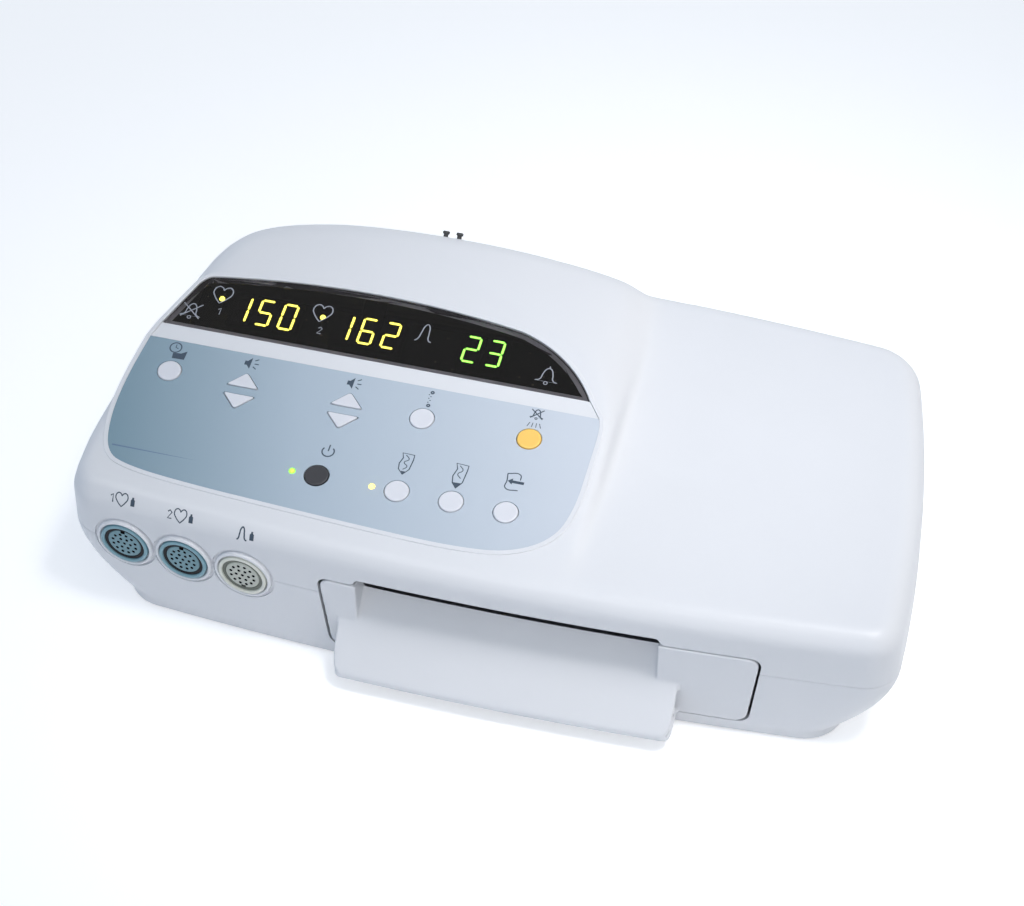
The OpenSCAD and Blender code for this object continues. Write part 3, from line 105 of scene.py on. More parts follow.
world = bpy.data.worlds.new("studio")
world.use_nodes = True
scene.world = world
nt = world.node_tree
nt.nodes.clear()
parts = add_node(nt, "SeparateXYZ", {0: add_node(nt, "TexCoord").outputs["Generated"]})
across = add_node(nt, "MapRange", {"Value": parts.outputs["X"], "From Min": -0.9,
                                   "From Max": 0.6}, interpolation_type="SMOOTHSTEP")
sides = add_node(nt, "Mix", {"Factor": across.outputs["Result"], "A": (0.55, 0.72, 0.95, 1),
                             "B": (0.96, 0.98, 1.0, 1)}, data_type="RGBA")
light = add_node(nt, "Background", {"Color": sides.outputs["Result"], "Strength": 0.6})
white = add_node(nt, "Background", {"Color": (1, 1, 1, 1)})
mix = add_node(nt, "MixShader", {"Fac": seen(nt), 1: light.outputs[0], 2: white.outputs[0]})
add_node(nt, "OutputWorld", {"Surface": mix.outputs[0]})

table_material = bpy.data.materials.new("table_top")
table_material.use_nodes = True
nt = table_material.node_tree
nt.nodes.clear()
matt = add_node(nt, "BsdfDiffuse", {"Color": (0.82, 0.83, 0.85, 1)}).outputs[0]
glow = add_node(nt, "Emission", {"Color": (1, 1, 1, 1), "Strength": 0.42})
both = add_node(nt, "AddShader", {0: matt, 1: glow.outputs[0]})
mix = add_node(nt, "MixShader", {"Fac": seen(nt), 1: matt, 2: both.outputs[0]})
add_node(nt, "OutputMaterial", {"Surface": mix.outputs[0]})
bm = bmesh.new()
bmesh.ops.create_grid(bm, x_segments=1, y_segments=1, size=4)
table_mesh = bpy.data.meshes.new("table_top")
bm.to_mesh(table_mesh)
bm.free()
table_top = bpy.data.objects.new("table_top", table_mesh)
scene.collection.objects.link(table_top)
table_mesh.materials.append(table_material)


# Moulded plastic. Cover, base, drawer and keys are injection moulded: a fine even grain from the
# tool, and a faint drift of the colour over the surface.
def skin_group(name, inputs, surface):
    """A node group that makes a skin's colour, roughness and normal out of its inputs."""
    g = bpy.data.node_groups.new(name, "ShaderNodeTree")
    for label, kind, default in inputs:
        g.interface.new_socket(name=label, in_out="INPUT",
                               socket_type="NodeSocket" + kind).default_value = default
    for label, kind in (("Colour", "Color"), ("Roughness", "Float"), ("Normal", "Vector")):
        g.interface.new_socket(name=label, in_out="OUTPUT", socket_type="NodeSocket" + kind)
    ends = g.nodes.new("NodeGroupOutput").inputs
    for end, made in zip(ends, surface(g, g.nodes.new("NodeGroupInput").outputs)):
        g.links.new(made, end)
    return g


def moulded_surface(g, given):
    here = add_node(g, "TexCoord").outputs["Object"]
    size = add_node(g, "Math", {0: 1.0, 1: given["Grain size"]}, operation="DIVIDE")
    fine = add_node(g, "TexNoise", {"Vector": here, "Scale": size.outputs[0],
                                    "Detail": 2}).outputs["Fac"]
    broad = add_node(g, "TexNoise", {"Vector": here, "Scale": 14, "Detail": 3})
    centred = add_node(g, "Math", {0: broad.outputs["Fac"], 1: 0.5}, operation="SUBTRACT")
    drift = add_node(g, "Math", {0: centred.outputs[0], 1: given["Drift"], 2: 1.0},
                     operation="MULTIPLY_ADD")
    tone = add_node(g, "VectorMath", {0: given["Colour"], "Scale": drift.outputs[0]},
                    operation="SCALE")
    rough = add_node(g, "Math", {0: fine, 1: 0.08, 2: given["Roughness"]},
                     operation="MULTIPLY_ADD")
    bump = add_node(g, "Bump", {"Distance": given["Grain depth"], "Height": fine})
    return tone.outputs["Vector"], rough.outputs[0], bump.outputs["Normal"]


moulded_skin = skin_group("moulded_skin", (
    ("Colour", "Color", (0.8, 0.8, 0.8, 1)), ("Drift", "Float", 0.02),
    ("Grain size", "Float", 0.0006), ("Grain depth", "Float", 0.00001),
    ("Roughness", "Float", 0.4)), moulded_surface)


def skinned(name, group, values, fixed):
    """A material with the skin of a group, and fixed values for the rest of its shader."""
    m = bpy.data.materials.new(name)
    m.use_nodes = True
    nt = m.node_tree
    shader = nt.nodes["Principled BSDF"].inputs
    for key, value in fixed.items():
        shader[key].default_value = value
    skin = add_node(nt, "Group", values, node_tree=group)
    for end, key in zip(skin.outputs, ("Base Color", "Roughness", "Normal")):
        nt.links.new(end, shader[key])
    return m


def plastic(name, colour, rough=0.36, size=0.0006, depth=0.00001, drift=0.03, level=0.5):
    return skinned(name, moulded_skin, {
        "Colour": (*colour, 1), "Roughness": rough, "Grain size": size, "Grain depth": depth,
        "Drift": drift}, {"Specular IOR Level": level})


housing_plastic = plastic("housing_plastic", (0.725, 0.74, 0.775), rough=0.34)


# Top cover. One large moulding: the low crowned top on the right runs up into the raised pod
# that carries panel and display. It is drawn out of both forms and blended in the valley.
tilt = math.radians(7.7)
panel_y, panel_z = -84.6, 82.0
panel_place = Matrix.Translation((0, panel_y, panel_z)) @ Matrix.Rotation(tilt, 4, "X")
joint_z = 49.0
front_centre, back_centre, side_centre = (0, 1895.4), (0, -1626.1), (-465.75, -64.6)
front_bow, back_bow, side_bow = 2000, 1750, 680
front_corner, back_corner, shell_wall = 19, 30, 3


def meeting(a, ra, b, rb):
    """Where a circle round a and one round b cross, to the left of the way from a to b."""
    a, b = Vector(a), Vector(b)
    gap = (b - a).length
    along = (gap * gap + ra * ra - rb * rb) / (2 * gap)
    u = (b - a) / gap
    return a + along * u + math.sqrt(ra * ra - along * along) * Vector((-u.y, u.x))


def heading(a, b):
    return math.atan2(b[1] - a[1], b[0] - a[0])


def at(x, y, z=0):
    return Matrix.Translation((x, y, z))


def tipped(degrees, axis):
    return Matrix.Rotation(math.radians(degrees), 4, axis)


def swept(bm, vert, centre, angle, steps):
    """Spins a vertex along an arc, and gives the vertex at the arc's end."""
    spun = bmesh.ops.spin(bm, geom=[vert], cent=centre, axis=(0, 0, 1), angle=angle, steps=steps)
    return next(e for e in spun["geom_last"] if isinstance(e, bmesh.types.BMVert))


def trimmed(bm, place, way):
    """Takes off what lies beyond a plane, on the side that way points to."""
    bmesh.ops.bisect_plane(bm, geom=bm.verts[:] + bm.edges[:] + bm.faces[:], plane_co=place,
                           plane_no=way, clear_outer=True)


def housing_ring(bm, z, front, side=None, back=None, front_r=front_corner, back_r=back_corner):
    """The housing's outline, drawn in, as a closed ring of edges: a vertex spun arc by arc."""
    side = front if side is None else side
    back = front if back is None else back
    front_r, back_r = max(front_r, 4), max(back_r, 6)
    fr, sr, br = front_bow - front, side_bow - side, back_bow - back
    c1 = meeting(front_centre, fr - front_r, side_centre, sr - front_r)
    c2 = meeting(side_centre, sr - back_r, back_centre, br - back_r)
    turns = [-math.pi / 2, heading(front_centre, c1), heading(side_centre, c1),
             heading(side_centre, c2), heading(back_centre, c2), math.pi / 2]
    spans = [b - a for a, b in zip(turns, turns[1:])]
    arcs = list(zip([front_centre, c1, side_centre, c2, back_centre], spans, [12, 10, 14, 12, 12]))
    arcs += [((-c[0], c[1]), a, s) for c, a, s in reversed(arcs)]
    first = last = bm.verts.new((0, front_centre[1] - fr, z))
    for c, a, s in arcs:
        last = swept(bm, last, (c[0], c[1], z), a, s)
    bmesh.ops.weld_verts(bm, targetmap={last: first})
    edges, corner, step = [], first, first.link_edges[0]
    while step:
        edges.append(step)
        corner = step.other_vert(corner)
        step = next((e for e in corner.link_edges if e != step and e != edges[0]), None)
    return edges


def stack(levels):
    """A closed solid through rings, each given as (z, front, side, back, front_r, back_r)."""
    bm = bmesh.new()
    rings = [housing_ring(bm, *level) for level in levels]
    for low, high in zip(rings, rings[1:]):
        bmesh.ops.bridge_loops(bm, edges=low + high)
    bmesh.ops.contextual_create(bm, geom=rings[0])
    bmesh.ops.contextual_create(bm, geom=rings[-1])
    bmesh.ops.recalc_face_normals(bm, faces=bm.faces)
    return bm


def corner_cut(points, rounds):
    """A line through points, with its corners cut off again and again until it is smooth."""
    line = [Vector(p) for p in points]
    for _ in range(rounds):
        cut = [line[0]]
        for a, b in zip(line, line[1:]):
            cut += [a.lerp(b, 0.25), a.lerp(b, 0.75)]
        line = cut + [line[-1]]
    return line


pod_left = corner_cut([(-217, -40), (-216, 0), (-212.5, 50), (-203, 99), (-196.5, 131),
                       (-186, 148), (-160, 159), (-120, 161)], 3)
pod_right = corner_cut([(50.5, -60), (52, 10), (52, 80), (48.5, 96), (41, 114), (30, 132),
                        (10, 142), (-20, 148), (-90, 149)], 3)
crest = corner_cut([(-175, -36, 4), (-170, -18, 2.7), (-160, -7, 2), (-125, 0, 1), (-85, 0, 0),
                    (-45, 0, 1.2), (-8, 0, 4.6), (12, 0, 7.6), (25, 0, 10.6)], 2)
valley_x = 50.8
crest_top, crest_inset, ball_r = 105, 22.5, 20


def pod_level(inset, draw, w):
    """Points of the pod's top outline at a height w above the panel's plane."""
    bm = bmesh.new()
    ring = housing_ring(bm, 0, inset, front_r=front_corner - inset, back_r=back_corner - inset)
    bmesh.ops.contextual_create(bm, geom=ring)
    bmesh.ops.translate(bm, vec=(0, -panel_y, 0), verts=bm.verts)
    bmesh.ops.scale(bm, vec=(1, 1 / math.cos(tilt), 1), verts=bm.verts)
    for line, side, shrink in ((pod_left, 1, inset), (pod_right, -1, draw)):
        for a, b in zip(line, line[1:]):
            u = (b - a).normalized()
            out_way = Vector((-u.y, u.x, 0)) * side
            trimmed(bm, Vector((a.x, a.y, 0)) - out_way * shrink, out_way)
    bmesh.ops.transform(bm, matrix=panel_place @ at(0, 0, w), verts=bm.verts)
    points = [v.co.copy() for v in bm.verts]
    bm.free()
    return points


def crest_y(x):
    return back_centre[1] + math.sqrt(back_bow ** 2 - x * x) - crest_inset


def pod_solid(wall, steps, ball_sides):
    """The raised pod as the hull of its outlines and of the round balls along its crest."""
    points = []
    for inset, z, edge in ((wall + 0.3, joint_z - 4, valley_x - wall),
                           (wall + 9.5, 78 - wall, valley_x - wall)):
        bm = bmesh.new()
        ring = housing_ring(bm, z, inset, front_r=front_corner - inset,
                            back_r=back_corner - inset)
        bmesh.ops.contextual_create(bm, geom=ring)
        trimmed(bm, (edge, 0, 0), (1, 0, 0))
        points += [v.co.copy() for v in bm.verts]
        bm.free()
    edge_r = 9.0 - wall
    for i in range(steps + 1):
        a = math.pi / 2 * i / steps
        points += pod_level(wall + 2.5 + edge_r * (1 - math.cos(a)),
                            wall + 2.5 * (1 - math.cos(a)), -wall - edge_r + edge_r * math.sin(a))
    for x, y, depth in crest:
        bm = bmesh.new()
        bmesh.ops.create_uvsphere(bm, u_segments=ball_sides, v_segments=ball_sides // 2,
                                  radius=ball_r - wall)
        y += crest_y(x)
        points += [v.co + Vector((x, y, crest_top - depth - ball_r)) for v in bm.verts]
        bm.free()
    bm = bmesh.new()
    for p in points:
        bm.verts.new(p)
    hull = bmesh.ops.convex_hull(bm, input=bm.verts)
    loose = {e for e in hull["geom_interior"] if isinstance(e, bmesh.types.BMVert)}
    bmesh.ops.delete(bm, geom=list(loose), context="VERTS")
    bmesh.ops.recalc_face_normals(bm, faces=bm.faces)
    return bm


def low_solid(wall, steps):
    """The low crowned top with its rolled edge."""
    r = 12.0 - wall
    top = 80.8 - wall
    levels = [(joint_z - 4, wall), (joint_z, wall), (top - r, wall + 1)]
    for i in range(1, steps + 1):
        a = math.pi / 2 * i / steps
        levels.append((top - r + r * math.sin(a), wall + 1 + r * (1 - math.cos(a))))
    for i in range(1, 6):
        levels.append((top + 1.2 * math.sin(math.pi / 2 * i / 5), wall + 1 + r + 11.4 * i))
    return stack([(z, d, d, d, front_corner - d, back_corner - d) for z, d in levels])


def as_object(name, bm, *materials):
    mesh = bpy.data.meshes.new(name)
    bm.to_mesh(mesh)
    bm.free()
    obj = bpy.data.objects.new(name, mesh)
    scene.collection.objects.link(obj)
    for m in materials:
        mesh.materials.append(m)
    return obj


def settled(obj):
    """The object's mesh with all its modifiers applied."""
    bpy.context.view_layer.update()
    mesh = bpy.data.meshes.new_from_object(
        obj.evaluated_get(bpy.context.evaluated_depsgraph_get()))
    obj.modifiers.clear()
    old, obj.data = obj.data, mesh
    bpy.data.meshes.remove(old)
    return obj


def carved(obj, cutters, add=False):
    """Cuts each cutter out of the object, and removes the cutters. add joins them instead."""
    cutters = list(cutters)
    for cutter in cutters:
        mod = obj.modifiers.new("cut", "BOOLEAN")
        mod.operation = "UNION" if add else "DIFFERENCE"
        mod.solver = "EXACT"
        mod.material_mode = "TRANSFER"
        mod.object = cutter
    settled(obj)
    for cutter in cutters:
        mesh = cutter.data
        bpy.data.objects.remove(cutter)
        bpy.data.meshes.remove(mesh)
    return obj


def within(obj, keep):
    """Keeps only what lies inside the other object, and removes that."""
    mod = obj.modifiers.new("within", "BOOLEAN")
    mod.operation = "INTERSECT"
    mod.solver = "EXACT"
    mod.object = keep
    settled(obj)
    bpy.data.objects.remove(keep)


def hand_over(obj, body, slot, replaces=(), sharp=32):
    """Brings a piece from millimetres into the frame, shades it and makes it ride on a body."""
    obj.data.transform(Matrix.Scale(0.001, 4))
    obj.data.shade_smooth()
    obj.data.set_sharp_from_angle(angle=math.radians(sharp))
    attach(obj, body)
    if replaces:
        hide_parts(*replaces)
    return obj


def block(low, high, *materials):
    bm = bmesh.new()
    bmesh.ops.create_cube(bm, size=1)
    low, high = Vector(low), Vector(high)
    bmesh.ops.scale(bm, vec=high - low, verts=bm.verts)
    bmesh.ops.translate(bm, vec=(low + high) / 2, verts=bm.verts)
    return as_object("block", bm, *materials)


both_forms = as_object("top_cover_moulding", low_solid(0, 10), housing_plastic)
pod = as_object("pod", pod_solid(0, 12, 28), housing_plastic)
cover = carved(both_forms, [pod], add=True)
remesh = cover.modifiers.new("remesh", "REMESH")
remesh.mode = "VOXEL"
remesh.voxel_size = 1.6
settled(cover)
bm = bmesh.new()
bm.from_mesh(cover.data)
bmesh.ops.smooth_vert(bm, verts=bm.verts, factor=0.5, use_axis_x=True, use_axis_y=True,
                      use_axis_z=True)
in_valley = [v for v in bm.verts if v.co.z > 72 and v.co.y > -96
             and -14 - max(0, v.co.y - 20) * 0.5 < v.co.x - valley_x < 16]
for _ in range(16):
    bmesh.ops.smooth_vert(bm, verts=in_valley, factor=0.5, use_axis_x=True, use_axis_y=True,
                          use_axis_z=True)
trimmed(bm, (0, 0, joint_z + 0.2), (0, 0, -1))
bmesh.ops.holes_fill(bm, edges=[e for e in bm.edges if e.is_boundary])
bm.to_mesh(cover.data)
bm.free()


def lines(points):
    return [("line", point) for point in points]


def traced(start, moves):
    """A flat face bounded by straight lines and arcs, walked round counter-clockwise."""
    bm = bmesh.new()
    first = last = bm.verts.new((start[0], start[1], 0))
    for move in moves:
        if move[0] == "line":
            new = bm.verts.new((move[1][0], move[1][1], 0))
            bm.edges.new((last, new))
            last = new
        else:
            centre, angle, steps = move[1:]
            last = swept(bm, last, (*centre, 0), math.radians(angle), steps)
    bm.edges.new((last, first))
    bmesh.ops.remove_doubles(bm, verts=bm.verts, dist=0.01)
    bmesh.ops.contextual_create(bm, geom=bm.edges)
    if bm.faces[:] and bm.faces[:][0].normal.z < 0:
        bmesh.ops.reverse_faces(bm, faces=bm.faces)
    return bm


def grown(bm, by):
    """The flat face with its border moved out evenly."""
    for face in bm.faces:
        corners = [loop.vert for loop in face.loops]
        places = [v.co.copy() for v in corners]
        for i, v in enumerate(corners):
            a, b = places[i - 1], places[(i + 1) % len(places)]
            u, w = (places[i] - a).normalized(), (b - places[i]).normalized()
            n1, n2 = Vector((u.y, -u.x, 0)), Vector((w.y, -w.x, 0))
            v.co = places[i] + (n1 + n2).normalized() * by / math.sqrt((1 + n1.dot(n2)) / 2)
    return bm


def raised(name, bm, low, high, place, *materials):
    """Turns a flat face into a plate from low to high, and places it."""
    bmesh.ops.translate(bm, vec=(0, 0, low), verts=bm.verts)
    top = bmesh.ops.extrude_face_region(bm, geom=bm.faces[:])["geom"]
    bmesh.ops.translate(bm, vec=(0, 0, high - low),
                        verts=[e for e in top if isinstance(e, bmesh.types.BMVert)])
    bmesh.ops.recalc_face_normals(bm, faces=bm.faces)
    bmesh.ops.transform(bm, matrix=place, verts=bm.verts)
    return as_object(name, bm, *materials)


def turned(name, profile, place, *materials, steps=64):
    """A lathed piece: the profile, as (radius, height), spun round the Z axis of its place."""
    bm = bmesh.new()
    line = [bm.verts.new((r, 0, h)) for r, h in profile]
    edges = [bm.edges.new(pair) for pair in zip(line, line[1:])]
    bmesh.ops.spin(bm, geom=edges, cent=(0, 0, 0), axis=(0, 0, 1), angle=2 * math.pi,
                   steps=steps, use_merge=True)
    bmesh.ops.remove_doubles(bm, verts=bm.verts, dist=0.0005)
    bmesh.ops.recalc_face_normals(bm, faces=bm.faces)
    bmesh.ops.transform(bm, matrix=place, verts=bm.verts)
    return as_object(name, bm, *materials)


def rod(r, low, high, place, *materials, steps=64):
    return turned("rod", [(0, low), (r, low), (r, high), (0, high)], place, *materials,
                  steps=steps)


# Outlines on the panel: the key panel's bowed front and swept right end, and the display lens
# behind it with its slanted left end. Both sit in one face with a slim raised rim.
overlay_line = corner_cut([(-200.3, 91.3), (-203.2, 64), (-203.2, 38), (-197.5, 15), (-183, 9.2),
                           (-150, 5.8), (-100, 3.2), (-45, 0.6), (-10, -0.2), (18, 2.6),
                           (37.5, 15.5), (43, 36), (43.3, 60), (43.6, 84), (41.6, 91.6)], 3)
overlay_moves = lines(overlay_line[1:])
lens_left, lens_right, lens_top_left = (-197.5, 101.3), (34.5, 101.3), Vector((-184.6, 136.0))
end_centre, top_centre = (-31.9, 64.3), (-94, -350.7)
end_top = meeting(end_centre, 76, top_centre, 495)
top_turn = math.degrees(heading(top_centre, lens_top_left) - heading(top_centre, end_top))
end_turn = math.degrees(heading(end_centre, end_top) - heading(end_centre, lens_right))
lens_moves = [("line", lens_right), ("arc", end_centre, end_turn, 14),
              ("arc", top_centre, top_turn, 40)]


def overlay_face():
    return traced(overlay_line[0], overlay_moves)


def round_off(bm, corners, offset, segments):
    bmesh.ops.bevel(bm, geom=corners, offset=offset, offset_type="OFFSET", segments=segments,
                    profile=0.5, affect="VERTICES", material=-1)


def rounded_at(bm, near, r=7):
    """Rounds the corner of a flat face that lies nearest to each given point."""
    for x, y in near:
        corner = min(bm.verts, key=lambda v: (v.co.x - x) ** 2 + (v.co.y - y) ** 2)
        round_off(bm, [corner], r, 8)
    bmesh.ops.remove_doubles(bm, verts=bm.verts, dist=0.01)
    return bm


def lens_face():
    return rounded_at(traced(lens_left, lens_moves), [lens_top_left])


def window_face():
    """What is open under the lens: the lens without the ledge that it is glued to."""
    bm = grown(lens_face(), -3)
    for v in bm.verts:
        v.co.y = max(v.co.y, 104.3)
    return bm


def whole_face():
    return rounded_at(traced(overlay_line[0], overlay_moves + lens_moves
                             + lines([lens_left])), [lens_top_left])


# Openings that go through the cover: the panel's seat, the drawer with the paper slot over it,
# and the sockets. The inside is hollow with a wall of 3 mm.
def opening(points, rounds, inner_y):
    """A cutter with an outline in X and Z that runs back along Y from before the front."""
    bm = bmesh.new()
    corners = [bm.verts.new((x, z, 0)) for x, z in points]
    bm.faces.new(corners)
    for offset, which in rounds:
        round_off(bm, [corners[i] for i in which], offset, 7)
    return raised("opening", bm, -inner_y, 130, tipped(90, "X"))


drawer_left, drawer_right, drawer_low, drawer_top, slant = -75.3, 148.1, 10.0, 58.7, 4.6
slot_left, slot_right, slot_top = -55.9, 98.1, 63.5


def drawer_outline(e, g):
    return [(drawer_left - e, drawer_top + g), (drawer_left + slant - e, drawer_low - g),
            (drawer_right - slant + e, drawer_low - g), (drawer_right + e, drawer_top + g)]


def drawer_opening():
    a, b, c, d = drawer_outline(1.2, 0.85)
    return opening([a, b, c, d, (slot_right + 1.6, d[1]), (slot_right - 0.4, slot_top),
                    (slot_left + 0.4, slot_top), (slot_left - 1.6, a[1])],
                   [(6.0, (0, 1, 2, 3)), (1.7, (4, 5, 6, 7))], -86)


socket_places = [(-181.5, 48.0), (-148.9, 48.0), (-116.3, 48.0)]


def front_y(x):
    return front_centre[1] - math.sqrt(front_bow ** 2 - x * x)


def on_socket(i):
    x, z = socket_places[i]
    return at(x, front_y(x), z) @ tipped(-5, "Z") @ tipped(90, "X")


def socket_openings():
    for i in range(3):
        yield turned("opening", [(0, -40), (12, -40), (12, -1.6), (17, -1.6), (17, -0.3),
                                 (17.6, 0.6), (17.6, 14), (0, 14)], on_socket(i))


key_places = {
    "clock_key": ("round", -182.9, 71.5), "volume_1_up_key": ("up", -142.5, 70.0),
    "volume_1_down_key": ("down", -142.5, 64.8), "volume_2_up_key": ("up", -86.5, 70.0),
    "volume_2_down_key": ("down", -86.5, 64.8), "zero_key": ("round", -46.3, 71.5),
    "silence_key": ("round", 10.1, 71.5), "power_key": ("round", -88.3, 25.4),
    "record_key": ("round", -46.3, 25.4), "mark_key": ("round", -18.1, 25.4),
    "paper_feed_key": ("round", 10.1, 25.4)}
lamp_places = [(-101.3, 25.4), (-59.3, 25.4)]


def on_panel(u=0, v=0, w=0):
    return panel_place @ at(u, v, w)


def key_face(shape, wider=0.0):
    """Outline of a key's top, with its middle at the key's place."""
    bm = bmesh.new()
    if shape == "round":
        bmesh.ops.create_circle(bm, cap_ends=True, segments=64, radius=6.2 + wider)
        return bm
    tip = 9.0 if shape == "up" else -9.0
    corners = [bm.verts.new(p) for p in ((-8.5, 0, 0), (8.5, 0, 0), (0, tip, 0))]
    if tip < 0:
        corners.reverse()
    bm.faces.new(corners)
    grown(bm, wider)
    round_off(bm, corners, 1.6 + wider, 6)
    return bm


def key_openings(clearance):
    for shape, u, v in key_places.values():
        yield raised("opening", key_face(shape, clearance), -9, 6, on_panel(u, v))
    for u, v in lamp_places:
        yield rod(1.8, -9, 6, on_panel(u, v), steps=32)


inner = carved(as_object("inner", low_solid(shell_wall, 6)),
               [as_object("inner", pod_solid(shell_wall, 5, 16))], add=True)
carved(cover, [inner, raised("seat", grown(whole_face(), 2.36), -2.35, 9, panel_place),
               raised("seat", grown(whole_face(), -0.6), -9, 0, panel_place),
               drawer_opening(), *socket_openings()])
hand_over(cover, "housing", "housing_cover", ["top_cover"])


# Panel frame. A slim rim runs round the face that holds overlay and lens, with a plain band
# between the two, a floor under the overlay and a ledge that the lens is glued to.
def joined(name, *parts):
    """One piece made of several that touch."""
    bm = bmesh.new()
    for part in parts:
        bm.from_mesh(part.data)
    materials = parts[0].data.materials[:]
    for part in parts:
        mesh = part.data
        bpy.data.objects.remove(part)
        bpy.data.meshes.remove(mesh)
    return as_object(name, bm, *materials)


def softened(obj, width, segments=3, above=50):
    """Rounds every edge that turns by more than the angle."""
    soften = obj.modifiers.new("soften", "BEVEL")
    soften.limit_method = "ANGLE"
    soften.angle_limit = math.radians(above)
    soften.width = width
    soften.segments = segments
    return settled(obj)


def even(obj):
    """Keeps large flat faces flat-looking beside their rounded edges."""
    weighted = obj.modifiers.new("even", "WEIGHTED_NORMAL")
    weighted.weight = 90
    weighted.keep_sharp = True
    return obj


rim = carved(raised("rim", grown(whole_face(), 2.4), -2.3, 0.6, panel_place, housing_plastic),
             [raised("field", whole_face(), -3, 1, panel_place)])
band = raised("band", traced((-200.2, 91.5), lines([(41.5, 91.5), (34.4, 101.3),
                                                      (-197.4, 101.3)])),
              -2.3, 0, panel_place, housing_plastic)
floor = carved(raised("floor", overlay_face(), -2.2, -1, panel_place, housing_plastic),
               key_openings(0.4))
ledge = carved(raised("ledge", lens_face(), -2.2, -2, panel_place, housing_plastic),
               [raised("window", window_face(), -3, -1, panel_place)])
deck = joined("panel_frame", softened(rim, 0.28), softened(band, 0.25), floor, ledge)
hand_over(even(deck), "housing", "housing_cover")


# Base shell. Its front goes straight down, its sides and back curve in towards the feet, and it
# holds the rear connectors in a recess. The joint under the cover is a fine open groove.
plinth_draw, seam_z = 3, 48.9


def base_stack(wall, low, top=0):
    levels = [(z, front + wall, 21 + wall + plinth_draw, 8 + wall + plinth_draw,
               front_corner + 6 - wall - plinth_draw, back_corner - wall - plinth_draw)
              for z, front in ((low, 1.5), (6.8, 1.2))]
    for i in range(17):
        share = 1 - i / 16
        k = share ** 1.9
        levels.append((seam_z - share * 40.9, 0.8 * k + wall, 21 * k + wall, 8 * k + wall,
                       front_corner + 6 * k - wall, back_corner - wall))
    if top > seam_z:
        levels.append((top, wall, wall, wall, front_corner - wall, back_corner - wall))
    return stack(levels)


def bores(r, high, places):
    return [rod(r, 0, high, at(x, y), steps=32) for x, y in places]


base = softened(as_object("base_moulding", base_stack(0, 0.7), housing_plastic), 0.8, 3, 35)
rear_y = 107.9
rear_low, rear_high = 8.5, 40.5
screw_places = [(-172, -40), (-160, 96), (0, 97), (160, 96), (172, -40), (165, -70)]
bracket_places = [(x, y) for x in (-75, 75) for y in (-37.5, 37.5)]
foot_places = [(-150, -77.6), (135, -77.6), (-150, 80), (150, 80)]
speaker_x, speaker_y, grille_r = -138, -34, 25.5
hollow = as_object("hollow", base_stack(shell_wall, 5, 60))
carved(hollow, [block((-138, rear_y - shell_wall, 0), (138, 140, rear_high + shell_wall))]
       + bores(5.5, 70, screw_places) + bores(6, 9.5, bracket_places)
       + [rod(19.5, -5.6, 8, on_socket(i)) for i in range(3)])
carved(base, [hollow, block((-135, rear_y - 4, rear_low), (135, 140, rear_high)),
              drawer_opening(), *socket_openings()]
       + bores(2.1, 70, screw_places) + bores(4, 18, screw_places)
       + bores(3.6, 8.5, bracket_places) + bores(8.3, 3.2, foot_places)
       + [block((speaker_x + x - 1.2, speaker_y - math.sqrt(grille_r ** 2 - x ** 2), 0),
                (speaker_x + x + 1.2, speaker_y + math.sqrt(grille_r ** 2 - x ** 2), 7))
          for x in [5.4 * i for i in range(-4, 5)]])
hand_over(base, "housing", "housing_base", ["base_shell"])


# Drawer front. A bowed door with a recess whose ramp leads the paper out and over the lip of a
# hollow scoop, moulded in one. It is drawn a little thick and smoothed for its soft corners.
def along_face(profile, x0, x1, steps):
    """Sweeps a section of (depth in front of the face, height) along the bowed face."""
    a0, a1 = (math.asin(x / front_bow) for x in (x0, x1))
    bm = bmesh.new()
    line = [bm.verts.new((0, front_centre[1] - front_bow - d, z)) for d, z in profile]
    face = bm.faces.new(line)
    bmesh.ops.rotate(bm, verts=bm.verts, cent=(*front_centre, 0),
                     matrix=Matrix.Rotation(a0, 3, "Z"))
    bmesh.ops.spin(bm, geom=[face], cent=(*front_centre, 0), axis=(0, 0, 1), angle=a1 - a0,
                   steps=steps)
    bmesh.ops.recalc_face_normals(bm, faces=bm.faces)
    return as_object("sweep", bm, housing_plastic)


ramp_z, ramp_turn = 33.2, math.radians(-47.6)
ramp_fall = -math.tan(ramp_turn)
lip_y, lip_z, lip_r = 15.3, 10.5, 4.0


def ramp_at(depth, under=0.0):
    return ramp_z - depth * ramp_fall - under / math.cos(ramp_turn)


def scoop_section(t, root):
    bend = [(lip_y + (lip_r - t) * math.cos(a), lip_z + (lip_r - t) * math.sin(a))
            for a in [math.radians(42.4 - 132.4 * i / 10) for i in range(11)]]
    return root + bend + [(0.8 + t, lip_z - lip_r + t), (0.8 + t, drawer_low + t)]


door = along_face([(-2.6, 0), (-2.6, 70), (0, 70), (0, 0)], drawer_left - 5, drawer_right + 5, 48)
within(door, opening(drawer_outline(0, 0), [(6.0, (0, 1, 2, 3))], -80))
recess = along_face([(-1, drawer_top - 0.2), (-1, ramp_at(-1, 2.6)), (-15, ramp_at(-15, 2.6)),
                     (-15, drawer_top - 0.2)], slot_left - 2.6, slot_right + 2.6, 34)
carved(door, [recess], add=True)
cut = along_face([(-20, drawer_top + 5), (5, drawer_top + 5), (5, ramp_z), (0, ramp_z),
                  (-20, ramp_at(-20))], slot_left, slot_right, 32)
carved(door, [cut])
scoop = along_face(scoop_section(0, [(0, drawer_low), (-2, drawer_low + 2), (-2, ramp_z - 2),
                                     (0, ramp_z)]), slot_left - 11, slot_right + 11, 40)
hollow = along_face(scoop_section(2.6, [(-1, drawer_low + 2.6), (-1, ramp_at(-1, 2.6))]),
                    slot_left - 12, slot_right + 12, 40)
carved(scoop, [hollow])
